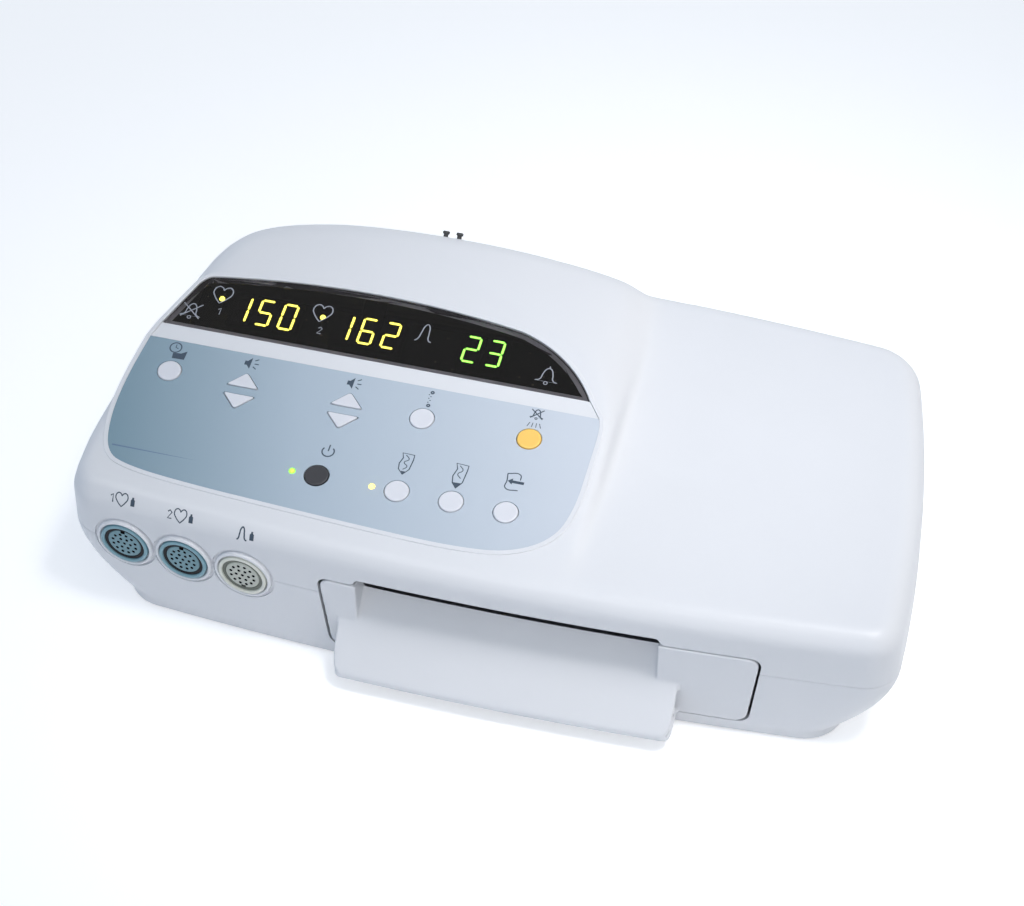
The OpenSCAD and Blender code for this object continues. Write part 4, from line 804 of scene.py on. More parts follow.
scoop_plan = [(-67.0, -90), (-64.8, -123.3), (21, -124.5), (109.2, -121.4), (109.2, -90)]
within(scoop, raised("plan", rounded_at(traced(scoop_plan[0], lines(scoop_plan[1:])),
                                        [scoop_plan[1], scoop_plan[3]]), -5, 60, Matrix()))
carved(door, [scoop], add=True)
remesh = door.modifiers.new("remesh", "REMESH")
remesh.mode = "VOXEL"
remesh.voxel_size = 0.75
smooth = door.modifiers.new("smooth", "SMOOTH")
smooth.factor = 0.5
smooth.iterations = 3
settled(door)
carved(door, [along_face([(-20, ramp_z + 6), (-12.1, ramp_z + 6), (-12.1, drawer_top + 5),
                          (-20, drawer_top + 5)], slot_left - 3.5, slot_right + 3.5, 34)])
door.name = "drawer_front_moulding"
hand_over(door, "drawer", "housing_cover", ["drawer_front"], sharp=60)


# Key panel overlay. A matt film of printed polyester, glued into the seat in front of the band.
# Painted shade darkens its grey-blue from a pale one at the right to a deep one at the lower left.
shaded_printed_film = plastic("shaded_printed_film", (0.4, 0.5, 0.6), rough=0.42, size=0.0005,
                       depth=0.000006, drift=0.02, level=0.35)
nt = shaded_printed_film.node_tree
parts = add_node(nt, "SeparateXYZ", {0: add_node(nt, "TexCoord").outputs["Object"]}).outputs
across = add_node(nt, "Math", {0: parts["Y"], 1: 0.32, 2: parts["X"]}, operation="MULTIPLY_ADD")
share = add_node(nt, "MapRange", {"Value": across.outputs[0], "From Min": -0.225,
                                  "From Max": 0.035})
# The ramp paints shade into the film: the grey-blue grows darker towards the lower left.
film_shade_fade = add_node(nt, "ValToRGB", {"Fac": share.outputs[0]})
film_shade_fade.color_ramp.elements.new(0.42)
for element, colour in zip(film_shade_fade.color_ramp.elements, (
        (0.185, 0.295, 0.365, 1), (0.41, 0.495, 0.58, 1), (0.575, 0.625, 0.70, 1))):
    element.color = colour
skin = next(n for n in nt.nodes if n.type == "GROUP")
nt.links.new(film_shade_fade.outputs["Color"], skin.inputs["Colour"])
overlay = carved(raised("key_panel_film", overlay_face(), -1.0, 0.15, panel_place, shaded_printed_film),
                 key_openings(0.4))
hand_over(even(softened(overlay, 0.1, 2)), "housing", "panel_film", ["panel_overlay"])


# Printed signs. Dark ink on the film and on the cover over the sockets, grey ink on the lens.
# Each is drawn as pen strokes and filled shapes, as a screen printer's artwork is.
def stroke(points, width, closed=False, smooth=False, size=1.0):
    """A pen stroke through points, flat on the Z plane."""
    curve = bpy.data.curves.new("stroke", "CURVE")
    curve.dimensions = "3D"
    curve.bevel_depth = width / 2
    curve.bevel_resolution = 1
    curve.use_fill_caps = True
    spline = curve.splines.new("BEZIER")
    spline.resolution_u = 7 if smooth else 1
    spline.bezier_points.add(len(points) - 1)
    for p, (x, y, *sharp) in zip(spline.bezier_points, points):
        p.co = (x * size, y * size, 0)
        p.handle_left_type = p.handle_right_type = "AUTO" if smooth and not sharp else "VECTOR"
    spline.use_cyclic_u = closed
    return curve


def ring_stroke(x, y, r, width):
    return stroke([(x + r, y), (x, y + r), (x - r, y), (x, y - r)], width, True, True)


def filled(points):
    """A filled shape, flat on the Z plane."""
    curve = bpy.data.curves.new("fill", "CURVE")
    curve.dimensions = "2D"
    curve.fill_mode = "BOTH"
    curve.extrude = 0.1
    spline = curve.splines.new("POLY")
    spline.points.add(len(points) - 1)
    for p, (x, y) in zip(spline.points, points):
        p.co = (x, y, 0, 1)
    spline.use_cyclic_u = True
    return curve


ink_height = 0.12


def printed(name, place, slot, ink, marks):
    """Prints a list of (curves, x, y) on the housing as one thin piece of ink."""
    bm = bmesh.new()
    for curves, x, y in marks:
        for curve in curves:
            obj = bpy.data.objects.new("mark", curve)
            mesh = obj.to_mesh()
            mesh.transform(at(x, y) @ Matrix.Diagonal((1, 1, ink_height, 1)))
            bm.from_mesh(mesh)
            obj.to_mesh_clear()
            bpy.data.objects.remove(obj)
            bpy.data.curves.remove(curve)
    bmesh.ops.transform(bm, matrix=place, verts=bm.verts)
    return hand_over(as_object(name, bm, ink), "housing", slot)


def heart(size=1.0, width=0.62):
    return [stroke([(0, -5.9, 1), (-3.6, -1.9), (-5.2, 1.6), (-3.4, 5.0), (-1.2, 4.6),
                    (0, 2.9, 1), (1.2, 4.6), (3.4, 5.0), (5.2, 1.6), (3.6, -1.9)],
                   width, True, True, size)]


def bell(size=1.0, width=0.6, crossed=False):
    marks = [stroke([(-5.6, -3.6, 1), (-3.4, -2.6), (-2.5, 1.0), (-1.3, 3.9), (0, 4.6),
                     (1.3, 3.9), (2.5, 1.0), (3.4, -2.6), (5.6, -3.6, 1)],
                    width, True, True, size),
             ring_stroke(0, -4.5 * size, 0.9 * size, width * 0.8)]
    ends = [((-5.4, 4.4), (5.4, -4.6)), ((5.0, 4.8), (-5.0, -4.4))]
    return marks + [stroke(pair, width, size=size)
                    for pair in (ends if crossed else [((0, 4.6), (0, 5.9))])]


def hump(size=1.0, width=0.62):
    return [stroke([(-4.4, -5.6), (-3.2, -4.6), (-2.1, 0), (-1.1, 4.6), (0.1, 5.7), (1.2, 4.6),
                    (2.0, 0), (3.0, -4.8), (4.4, -5.4)], width, False, True, size)]


def figure(digit, width=0.5):
    h, w = 2.1, 1.092
    line = {1: [(-w, h * 0.55), (0.2 * w, h), (0.2 * w, -h)],
            2: [(-w, h * 0.6), (0, h), (w, h * 0.5), (-w, -h), (w, -h)]}[digit]
    return [stroke(line, width)]


ink_dark = plastic("dark_ink", (0.05, 0.075, 0.11), rough=0.5, size=0.0003, drift=0.3, level=0.3)
ink_blue = plastic("blue_ink", (0.13, 0.20, 0.31), rough=0.5, size=0.0003, drift=0.2, level=0.3)
ink_grey = plastic("grey_ink", (0.33, 0.35, 0.40), rough=0.5, size=0.0003, drift=0.2, level=0.3)

clock = [ring_stroke(-1.4, 2.6, 3.1, 0.65), stroke([(-1.4, 4.6), (-1.4, 2.6), (0.2, 2.2)], 0.5),
         filled([(-1.7, -0.9), (-1.3, -4.4), (5.3, -4.2), (5.5, 1.4), (2.6, -0.6)])]
loudspeakers = [
    [filled([(-4.0, -1.2), (-4.0, 1.4), (-2.6, 1.4), (-0.6, 3.8), (-0.6, -3.4), (-2.6, -1.2)])]
    + [stroke(pair, 0.6) for pair in (((1.0, 2.2), (2.9, 3.4)), ((1.3, 0.2), (3.6, 0.2)),
                                      ((1.0, -1.7), (2.9, -3.0)))] for _ in range(2)]
zero = ([ring_stroke(0, 4.2, 0.7, 0.8), ring_stroke(0, -4.2, 0.7, 0.8)]
        + [stroke([(x, y), (x + 0.7, y)], 0.55)
           for x, y in ((-1.6, 2.6), (-0.5, 1.5), (-1.3, 0.3), (-0.3, -0.9), (-1.1, -2.2))])
silenced = bell(0.62, 0.62, True) + [stroke([(x0, -5.6), (x1, -8.4)], 0.42)
                                     for x0, x1 in ((-2.4, -3.4), (-0.8, -1.0), (1.0, 1.3),
                                                    (2.6, 3.8))]
power = [stroke([(3.1 * math.sin(math.radians(a)), 3.1 * math.cos(math.radians(a)))
                 for a in range(42, 330, 24)], 0.75, False, True),
         stroke([(0, 0.2), (0, 4.2)], 0.7)]
tracing = [stroke([(-3.2, 6.3), (3.0, 6.1), (3.2, 3.2), (2.6, -3.0), (0, -6.6), (-2.8, -3.6),
                   (-3.3, -0.2), (-2.2, 3.4)], 0.62, True),
           stroke([(-1.2, 5.4), (0.9, 3.0), (-1.0, 0.8), (1.0, -1.4), (-0.6, -3.6)], 0.5,
                  False, True),
           filled([(-1.3, -4.6), (1.2, -4.6), (0, -6.6)])]
marking = [stroke([(-3.2, 7.3), (3.2, 6.9), (3.2, 4.0), (2.6, -3.6), (0, -7.6), (-2.4, -4.6),
                   (-3.2, -0.6), (-2.0, 4.0)], 0.62, True),
           stroke([(-1.2, 6.2), (0.9, 3.6), (-1.0, 1.0), (1.0, -1.4)], 0.5, False, True),
           filled([(-2.7, -4.4), (2.6, -4.2), (0.1, -7.9)])]
feeding = [stroke([(-4.2, 4.4), (2.2, 4.8), (3.0, 1.6)], 0.6, False, True),
           stroke([(-4.2, 4.4), (-3.6, 0.2), (-3.4, -4.4), (3.2, -4.8)], 0.6, False, True),
           filled([(-3.2, 0.1), (-0.8, 2.0), (-0.8, 0.8), (5.2, 0.8), (5.2, -0.8), (-0.8, -0.8),
                   (-0.8, -1.8)])]
film_top = panel_place @ at(0, 0, 0.16)
lens_top = panel_place @ at(0, 0, -0.19)
printed("panel_signs", film_top, "panel_film", ink_dark, [
    (clock, -183.2, 84.1), (loudspeakers[0], -142.2, 85.4), (zero, -45.5, 84.4),
    (silenced, 10.3, 87.4), (power, -87.0, 40.9), (tracing, -46.5, 42.4), (marking, -18.2, 41.4),
    (feeding, 9.4, 44.1), (loudspeakers[1], -86.3, 85.0)])
printed("panel_line", film_top, "panel_film", ink_blue,
        [([filled([(-22.4, 0.35), (-22.4, -0.45), (22.6, 0.0)])], -173.6, 20.3)])


# Display lens. A smoked acrylic window, glued on its ledge behind the band, with grey signs for
# the two heart rates, the contractions and the alarm printed on it.
lens_acrylic = skinned("smoked_acrylic", moulded_skin, {
    "Colour": (0.13, 0.125, 0.135, 1), "Roughness": 0.02, "Grain size": 0.002,
    "Grain depth": 0.0000015, "Drift": 0.08},
    {"Transmission Weight": 1, "IOR": 1.24, "Specular IOR Level": 0.25})
lens = raised("display_lens_window", grown(lens_face(), -0.25), -2.0, -0.2, panel_place,
              lens_acrylic)
hand_over(even(softened(lens, 0.18, 3)), "housing", "smoked_lens", ["display_lens"])
printed("lens_signs", lens_top, "panel_film", ink_grey, [
    (heart(), -172.1, 126.2), (figure(1), -170.0, 115.1), (heart(), -116.7, 126.2),
    (figure(2), -114.6, 114.8), (hump(), -59.9, 125.4), (bell(1.05), 9.2, 112.6),
    (bell(1.0, 0.6, True), -184.8, 112.4)])


# Display. Eight figure modules and a small lamp for each heart stand on their board under the
# lens. Each module is a black block with seven bars, lit from within where the figure needs it.
def glowing(name, colour, strength):
    """A lit moulding: a diffuser with a fine speckle, glowing in its own colour."""
    m = bpy.data.materials.new(name)
    m.use_nodes = True
    nt = m.node_tree
    shader = nt.nodes["Principled BSDF"].inputs
    shader["Roughness"].default_value = 0.4
    shader["Emission Strength"].default_value = strength
    speckle = add_node(nt, "TexNoise", {"Vector": add_node(nt, "TexCoord").outputs["Object"],
                                        "Scale": 900})
    spread = add_node(nt, "ValToRGB", {"Fac": speckle.outputs["Fac"]})
    for element, position, share in zip(spread.color_ramp.elements, (0.3, 0.6), (0.72, 1)):
        element.position = position
        element.color = (*(c * share for c in colour), 1)
    for key in ("Base Color", "Emission Color"):
        nt.links.new(spread.outputs["Color"], shader[key])
    return m


module_black = plastic("module_black", (0.012, 0.012, 0.014), rough=0.55, level=0.2)
bar_off = plastic("unlit_bar", (0.03, 0.03, 0.032), rough=0.5, level=0.2)
yellow_light = glowing("yellow_light", (0.95, 0.86, 0.10), 26)
green_light = glowing("green_light", (0.30, 0.95, 0.10), 22)
figure_bars = {1: "0110000", 2: "1101101", 3: "1111001", 5: "1011011", 6: "1011111",
               0: "1111110"}
bar_x, bar_y, figure_pitch, face_w = 3.5, 8.1, 12.8, -4.05
bar_places = [(0, bar_y, 90), (bar_x, bar_y / 2, 0), (bar_x, -bar_y / 2, 0), (0, -bar_y, 90),
              (-bar_x, -bar_y / 2, 0), (-bar_x, bar_y / 2, 0), (0, 0, 90)]


def block_face(w, d):
    bm = bmesh.new()
    bmesh.ops.create_grid(bm, x_segments=1, y_segments=1, size=0.5)
    bmesh.ops.scale(bm, vec=(w, d, 1), verts=bm.verts)
    return bm


def figure_bar(length, place, lit):
    bm = bmesh.new()
    bmesh.ops.create_cube(bm, size=1)
    bmesh.ops.scale(bm, vec=(1.15, length, 0.3), verts=bm.verts)
    bmesh.ops.bevel(bm, geom=[e for e in bm.edges if abs(e.verts[0].co.z - e.verts[1].co.z) > 0.1],
                    offset=0.5, offset_type="OFFSET", segments=1, profile=0.5, affect="EDGES",
                    material=-1)
    bmesh.ops.transform(bm, matrix=place, verts=bm.verts)
    return as_object("bar", bm, lit)


def figure_row(name, u, v, figures, light, slot, node):
    blocks, lit, unlit = [], [], []
    for i, f in enumerate(figures):
        x = u + (i - (len(figures) - 1) / 2) * figure_pitch
        body = raised("module", block_face(12.6, 20), -12, face_w, on_panel(x, v), module_black)
        blocks.append(softened(body, 0.4, 2))
        for on, (bx, by, turn) in zip(figure_bars[f], bar_places):
            place = on_panel(x + bx, v + by, face_w) @ tipped(turn, "Z")
            (lit if on == "1" else unlit).append(
                figure_bar(6.2 if turn == 90 else 7.4, place, light if on == "1" else bar_off))
    hand_over(joined(name + "_modules", *blocks), "housing", "black_plastic", [node])
    hand_over(joined(name + "_lit_bars", *lit), "housing", slot)
    hand_over(joined(name + "_unlit_bars", *unlit), "housing", "black_plastic")


figure_row("heart_rate_1", -147.4, 121.8, (1, 5, 0), yellow_light, "yellow_digits",
           "heart_rate_1_digits")
figure_row("heart_rate_2", -90.9, 122.1, (1, 6, 2), yellow_light, "yellow_digits",
           "heart_rate_2_digits")
figure_row("contraction", -28.1, 122.8, (2, 3), green_light, "green_digits", "contraction_digits")
pulse_places = [(-173.2, 126.9), (-117.0, 126.8)]
hand_over(joined("pulse_lamp_bodies", *[rod(1.5, -12, -5.4, on_panel(u, v), bar_off, steps=32)
                                        for u, v in pulse_places]),
          "housing", "black_plastic", ["pulse_lamps"])
hand_over(joined("pulse_lamp_domes", *[
    turned("dome", [(0, -5.4), (1.5, -5.4), (1.3, -4.75), (0.75, -4.2), (0, -4.0)],
           on_panel(u, v), yellow_light, steps=32) for u, v in pulse_places]),
          "housing", "yellow_digits")


# Keys. Silicone-coated caps, each with a slightly dished top and a soft edge, a flange that keeps
# it under the film and a stem that presses its switch. One is yellow and one black.
key_white = plastic("key_white", (0.70, 0.715, 0.77), rough=0.38, size=0.0008, depth=0.000006,
                    drift=0.02)
key_yellow = plastic("key_yellow", (0.93, 0.58, 0.13), rough=0.4, size=0.0008, depth=0.000006,
                     drift=0.04)
key_black = plastic("key_black", (0.018, 0.02, 0.028), rough=0.42, size=0.0008, depth=0.000006,
                    drift=0.1)
key_colours = {"silence_key": (key_yellow, "yellow_key"),
               "power_key": (key_black, "black_plastic")}


def round_key(u, v, ink):
    return turned("cap", [(0, -5.7), (2, -5.7), (2, -4.3), (7.6, -4.3), (7.6, -3.3), (6.2, -3.3),
                          (6.2, 0.15), (6.1, 0.42), (5.85, 0.62), (5.45, 0.7), (4.6, 0.66),
                          (2.4, 0.55), (0, 0.5)], on_panel(u, v), ink, steps=72)


def triangle_key(shape, u, v, ink):
    cap = softened(raised("cap", key_face(shape), -3.5, 0.7, on_panel(u, v), ink), 0.35, 4)
    flange = raised("flange", key_face(shape, 1.4), -4.3, -3.3, on_panel(u, v), ink)
    stem = rod(2, -5.7, -4.3, on_panel(u, v + (3 if shape == "up" else -3)), ink, steps=32)
    return joined("cap", cap, flange, stem)


for name, (shape, u, v) in key_places.items():
    ink, slot = key_colours.get(name, (key_white, "white_keys"))
    cap = round_key(u, v, ink) if shape == "round" else triangle_key(shape, u, v, ink)
    cap.name = name + "_moulding"
    hand_over(cap, name + "_cap", slot, [name])


# Indicator lamps. Two small domed light-emitting diodes, one green for power and one amber for
# the recorder, standing through the film from the keypad board.
lamp_green = glowing("lamp_green", (0.32, 0.95, 0.06), 2.2)
lamp_amber = glowing("lamp_amber", (1.0, 0.72, 0.18), 2.6)


def lamp_dome(u, v, light):
    return turned("dome", [(0, -10.2), (2.3, -10.2), (2.3, -7.4), (1.4, -7.2), (1.4, 0),
                           (1.32, 0.45), (1.05, 0.93), (0.6, 1.27), (0, 1.4)],
                  on_panel(u, v), light, steps=40)


for name, place, light, replaced in (
        ("indicator_domes", lamp_places[0], lamp_green, ["panel_lamps"]),
        ("recorder_indicator_dome", lamp_places[1], lamp_amber, [])):
    hand_over(joined(name, lamp_dome(*place, light)), "housing", "lamp_lens", replaced)


# Sensor sockets. Each is a moulded flange shell screwed through the front by a nut behind it, with
# a pin insert inside, and a pale collar round it in the spot-face. A sleeve fills the ring-shaped
# gap round the insert flush to the face, and its dark colour is painted shade for that gap. Two
# are teal, one ivory.
teal = plastic("socket_teal", (0.20, 0.37, 0.44), rough=0.26, size=0.0006, drift=0.05)
teal_insert = plastic("insert_teal", (0.16, 0.29, 0.34), rough=0.42, size=0.0006, drift=0.06)
ivory = plastic("socket_ivory", (0.72, 0.73, 0.66), rough=0.32, size=0.0006, drift=0.03)
ivory_insert = plastic("insert_ivory", (0.50, 0.52, 0.47), rough=0.45, size=0.0006, drift=0.05)
collar_white = plastic("collar_white", (0.74, 0.755, 0.79), rough=0.3, size=0.0006, drift=0.02)
# Near black painted on the walls of pin and contact holes, as the shade inside them.
hole_shade_black = plastic("hole_shade_black", (0.01, 0.01, 0.012), rough=0.7, level=0.1)
# Painted shade: the sleeves that fill the gap round each insert are near black, or dark olive in
# the ivory socket.
gap_shade_black = plastic("gap_shade_black", (0.01, 0.011, 0.014), rough=0.5, level=0.2)
gap_shade_olive = plastic("gap_shade_olive", (0.15, 0.165, 0.14), rough=0.5, drift=0.1, level=0.3)
pin_places = [(0, 0)] + [(r * math.cos(math.radians(a)), r * math.sin(math.radians(a)))
                         for r, angles in ((3.4, range(0, 360, 60)), (6.4, range(15, 360, 30)))
                         for a in angles]
socket_finishes = ((teal, teal_insert, gap_shade_black, "teal_plastic"),
                   (teal, teal_insert, gap_shade_black, "teal_plastic"),
                   (ivory, ivory_insert, gap_shade_olive, "ivory_plastic"))
collars = []
for i, (shell_finish, insert_finish, gap_shade_finish, slot) in enumerate(socket_finishes):
    place = on_socket(i)
    collars.append(turned("collar", [
        (13.6, -1.6), (15.5, -1.6), (15.5, -0.1), (15.35, 0.45), (14.95, 0.82), (14.5, 1.0),
        (14.1, 0.95), (13.8, 0.7), (13.6, 0.3), (13.6, -1.6)], place, collar_white, steps=96))
    flange = turned("flange", [
        (11.0, -18), (11.7, -18), (11.7, -1.6), (13, -1.6), (13, 0.75), (12.9, 1.1), (12.6, 1.32),
        (12.2, 1.4), (11.7, 1.4), (11.35, 1.3), (11.1, 1.05), (11.0, 0.7), (11.0, -18)],
        place, shell_finish, steps=96)
    socket = "socket_%d_" % (i + 1)
    flange.name = socket + "flange"
    hand_over(flange, "housing", slot, [socket + "shell"])
    # Sleeve filling the gap round the insert, coloured with the painted shade of that gap.
    hand_over(turned(socket + "bore", [
        (9.25, -14.7), (11.0, -14.7), (11.0, 0.35), (10.85, 0.5), (9.45, 0.5), (9.25, 0.3),
        (9.25, -14.7)], place, gap_shade_finish, steps=96),
        "housing", "black_plastic")
    insert = turned(socket + "pins", [
        (0, -20), (9.15, -20), (9.15, -14.8), (10.65, -14.8), (10.65, -11.8), (9.15, -11.8),
        (9.15, -0.1), (9.05, 0.35), (8.75, 0.55), (8.3, 0.6), (0, 0.6)], place, insert_finish,
        hole_shade_black, steps=96)
    # The pin holes' walls take the painted hole shade.
    holes = [rod(0.85, -4, 2, place @ at(x, y), steps=20) for x, y in pin_places]
    holes.append(raised("key", block_face(2.4, 3.6), -4, 2, place @ at(0, 9.2 if i < 2 else -9.2)))
    for hole in holes:
        hole.data.materials.append(hole_shade_black)
    hand_over(carved(insert, holes), "housing", slot, [socket + "insert"])
hand_over(joined("socket_collar_rings", *collars), "housing", "white_plastic",
          ["socket_collars"])


# Signs over the sockets, printed on the cover: a heart with its number for each heart sensor
# and a hump for the contraction sensor, each beside a small plug.
def plug():
    return [filled([(-1.1, -2.2), (1.1, -2.2), (1.1, 0.9), (0.5, 1.6), (0.5, 2.4), (-0.5, 2.4),
                    (-0.5, 1.6), (-1.1, 0.9)])]


def wrapped(obj, place, onto):
    """Lays a flat piece, drawn on the Z plane of its place, on a curved surface under it."""
    bm = bmesh.new()
    bm.from_mesh(onto.data)
    surface = BVHTree.FromBMesh(bm)
    bm.free()
    bm = bmesh.new()
    bm.from_mesh(obj.data)
    bmesh.ops.triangulate(bm, faces=bm.faces)
    bmesh.ops.subdivide_edges(bm, edges=bm.edges, cuts=2, use_grid_fill=True)
    bm.to_mesh(obj.data)
    bm.free()
    back = place.inverted()
    up = place.to_3x3() @ Vector((0, 0, 1))
    for v in obj.data.vertices:
        lift = (back @ v.co).z
        hit, normal, _, _ = surface.ray_cast(v.co + up * 0.15, -up)
        v.co = hit + normal * (0.00006 + lift)
    return obj


on_roll = tipped(51.5, "X")
signs = printed("socket_signs", on_roll, "housing_cover", ink_dark, [
    (figure(1, 0.65), -186.2, 2.5), (heart(0.64, 0.6), -181.2, 2.6), (plug(), -175.1, 2.3),
    (figure(2, 0.65), -154.6, 0.5), (heart(0.64, 0.6), -148.9, 0.7), (plug(), -143.1, 0.2),
    (hump(0.6, 0.75), -115.4, -1.7), (plug(), -110.2, -2.1)])
wrapped(signs, on_roll, cover)


# Rear pegs, feet, screws and bushes. Two small black pegs lean back out of the crest, four rubber
# feet are glued into wells, six steel screws with socket heads hold the cover from below, and
# four turned brass bushes are pressed into the base, with threads for a bracket's screws.
def drawn_surface(g, given):
    here = add_node(g, "TexCoord").outputs["Object"]
    along = add_node(g, "VectorMath", {0: here, 1: given["Stretch"]}, operation="MULTIPLY")
    drawn = add_node(g, "TexNoise", {"Vector": along.outputs["Vector"],
                                     "Scale": given["Scale"], "Detail": 3}).outputs["Fac"]
    spots = add_node(g, "TexNoise", {"Vector": here, "Scale": 55, "Detail": 4})
    tone = add_node(g, "Math", {0: drawn, 1: 0.24, 2: 0.88}, operation="MULTIPLY_ADD")
    tinted = add_node(g, "VectorMath", {0: given["Colour"], "Scale": tone.outputs[0]},
                      operation="SCALE")
    worn = add_node(g, "Math", {0: spots.outputs["Fac"], 1: 0.16, 2: given["Roughness"]},
                    operation="MULTIPLY_ADD")
    bump = add_node(g, "Bump", {"Distance": given["Depth"], "Height": drawn})
    return tinted.outputs["Vector"], worn.outputs[0], bump.outputs["Normal"]


drawn_metal = skin_group("drawn_metal", (
    ("Colour", "Color", (0.5, 0.5, 0.5, 1)), ("Roughness", "Float", 0.3),
    ("Scale", "Float", 260.0), ("Depth", "Float", 0.000004),
    ("Stretch", "Vector", (0.06, 1.0, 1.0))), drawn_surface)


def metal(name, colour, rough=0.28, scale=260.0, depth=0.000004, stretch=(0.06, 1, 1)):
    return skinned(name, drawn_metal, {
        "Colour": (*colour, 1), "Roughness": rough, "Scale": scale, "Depth": depth,
        "Stretch": stretch}, {"Metallic": 1})


peg_black = plastic("peg_black", (0.03, 0.032, 0.036), rough=0.4, size=0.0004, drift=0.1)
foot_rubber = plastic("foot_rubber", (0.035, 0.035, 0.036), rough=0.75, size=0.0005,
                      depth=0.00003, drift=0.4, level=0.25)
bright_steel = metal("bright_steel", (0.60, 0.61, 0.63), rough=0.22)
pegs = []
for x in (-70.5, -63):
    place = at(x, crest_y(x), 84.7) @ tipped(-48, "X") @ at(0, 0, 20)
    pegs.append(turned("peg", [(0, -3), (1.3, -3), (1.3, 1.3), (1.45, 1.4), (1.78, 1.45),
                               (1.9, 1.62), (1.9, 2.62), (1.8, 2.86), (1.55, 2.98), (0, 3.0)],
                       place, peg_black, steps=40))
hand_over(joined("rear_peg_posts", *pegs), "housing", "black_plastic", ["rear_pegs"])
hand_over(joined("moulded_feet", *[
    turned("foot", [(0, 4.4), (8, 4.4), (8, 1.5), (7.85, 0.95), (7.4, 0.4), (6.8, 0.08), (6.3, 0),
                    (4.2, 0), (4.0, 0.35), (0, 0.35)],
           at(x, y), foot_rubber, steps=64) for x, y in foot_places]),
          "housing", "rubber", ["rubber_feet"])
screws = []
for x, y in screw_places:
    place = at(x, y, 15.4)
    screw = turned("screw", [(0, 0), (3.1, 0), (3.4, 0.12), (3.5, 0.4), (3.5, 2.6), (1.45, 2.6),
                             (1.45, 44), (1.0, 45.6), (0, 45.6)], place, bright_steel, steps=40)
    screws.append(carved(screw, [rod(1.6, -1, 1.5, place, bright_steel, steps=6)]))
hand_over(joined("socket_head_screws", *screws), "housing", "steel", ["cover_screws"])
brass = metal("turned_brass", (0.78, 0.57, 0.24), rough=0.25)
hand_over(joined("threaded_bushes", *[
    turned("bush", [(3.5, 2.3), (3.2, 2), (2.45, 2), (2.1, 2.35)]
           + [(r, 2.6 + 0.35 * i) for i, r in enumerate((2.1, 2.3) * 8)]
           + [(2.1, 8.5), (3.5, 8.5), (3.5, 6.4), (3.2, 6.2), (3.2, 4.6), (3.5, 4.4), (3.5, 2.3)],
           at(x, y), brass, steps=40) for x, y in bracket_places]),
          "housing", "brass", ["bracket_inserts"])


# Rear connectors. A sheet steel plate in the recess carries the mains inlet, two fuse holders,
# the grounding stud and three data ports with their hexagonal posts.
def on_back(x, z):
    return at(x, rear_y, z) @ tipped(-90, "X")


def cornered(w, d, r, low=None):
    """A flat plate's face with round corners. low is the width of its lower edge on the back."""
    bm = bmesh.new()
    low = w if low is None else low
    corners = [bm.verts.new((x / 2, y / 2, 0))
               for x, y in ((-w, -d), (w, -d), (low, d), (-low, d))]
    bm.faces.new(corners)
    round_off(bm, corners, r, 6)
    return bm


connector_z = 24.5
inlet_x, fuse_x, stud_x, port_places = 104.0, 127.0, 76.0, (-104.0, -66.0, -28.0)
plate_steel = metal("plated_sheet", (0.52, 0.535, 0.55), rough=0.34, scale=420.0,
                    stretch=(0.04, 1, 1))
inlet_black = plastic("inlet_black", (0.022, 0.022, 0.025), rough=0.42, size=0.0007, drift=0.08)
port_insulator = plastic("port_insulator", (0.05, 0.055, 0.07), rough=0.5, drift=0.08)
plate = raised("connector_plate", cornered(269.4, 31.4, 0.8), 0, 1.5, on_back(0, connector_z),
               plate_steel)
carved(plate, [raised("hole", cornered(27.9, 20.4, 0.5), -2, 4, on_back(inlet_x, connector_z))]
       + [rod(5.65, -2, 4, on_back(fuse_x, connector_z + dz), steps=40) for dz in (-7.5, 7.5)]
       + [raised("hole", cornered(19.4, 11.4, 0.5), -2, 4, on_back(x, connector_z))
          for x in port_places]
       + [rod(4.15, -2, 4, on_back(stud_x, connector_z), steps=40)])
hand_over(softened(plate, 0.22, 2), "housing", "steel", ["rear_plate"])
place = on_back(inlet_x, connector_z)
inlet = carved(raised("inlet", cornered(31.5, 24, 2.6), 1.5, 3.5, place, inlet_black),
               [raised("well", cornered(24, 16, 1.0), -13, 6, place)])
softened(inlet, 0.4, 3, 60)
tub = carved(raised("tub", cornered(27.5, 20, 0.6), -15, 1.6, place, inlet_black),
             [raised("well", cornered(24, 16, 1.0), -13, 6, place)])
chamfers = [raised("corner", cornered(6.6, 6.6, 0.3), -13.5, 0.6,
                   place @ at(x, 8) @ tipped(45, "Z"), inlet_black) for x in (-12, 12)]
hand_over(joined("mains_inlet_body", inlet, tub, *chamfers), "housing", "black_plastic",
          ["mains_inlet"])
hand_over(joined("mains_inlet_pins", *[
    softened(raised("pin", cornered(2, 4, 0.3), -14, 0, on_back(inlet_x + x, connector_z + dz),
                    bright_steel), 0.3, 2, 60) for x, dz in ((-7, 0), (0, 4), (7, 0))]),
          "housing", "steel")
caps = []
for dz in (-7.5, 7.5):
    place = on_back(fuse_x, connector_z + dz)
    cap = turned("fuse_cap", [(0, -18), (5.5, -18), (5.5, 1.5), (6.75, 1.5), (6.75, 3.3),
                              (6.55, 3.75), (6.15, 4.0), (5.1, 4.0), (4.9, 3.75), (0, 3.75)],
                 place, inlet_black, steps=72)
    cuts = [raised("slot", cornered(1.6, 8, 0.3), 2.6, 6, place)]
    cuts += [rod(0.42, 1.9, 6, place @ tipped(a, "Z") @ at(6.85, 0), steps=8)
             for a in range(0, 360, 20)]
    caps.append(carved(cap, cuts))
hand_over(joined("fuse_caps", *caps), "housing", "black_plastic", ["fuse_holders"])
thread = [(2.75 if i % 2 else 3.0, 4.2 + 0.45 * i) for i in range(18)]
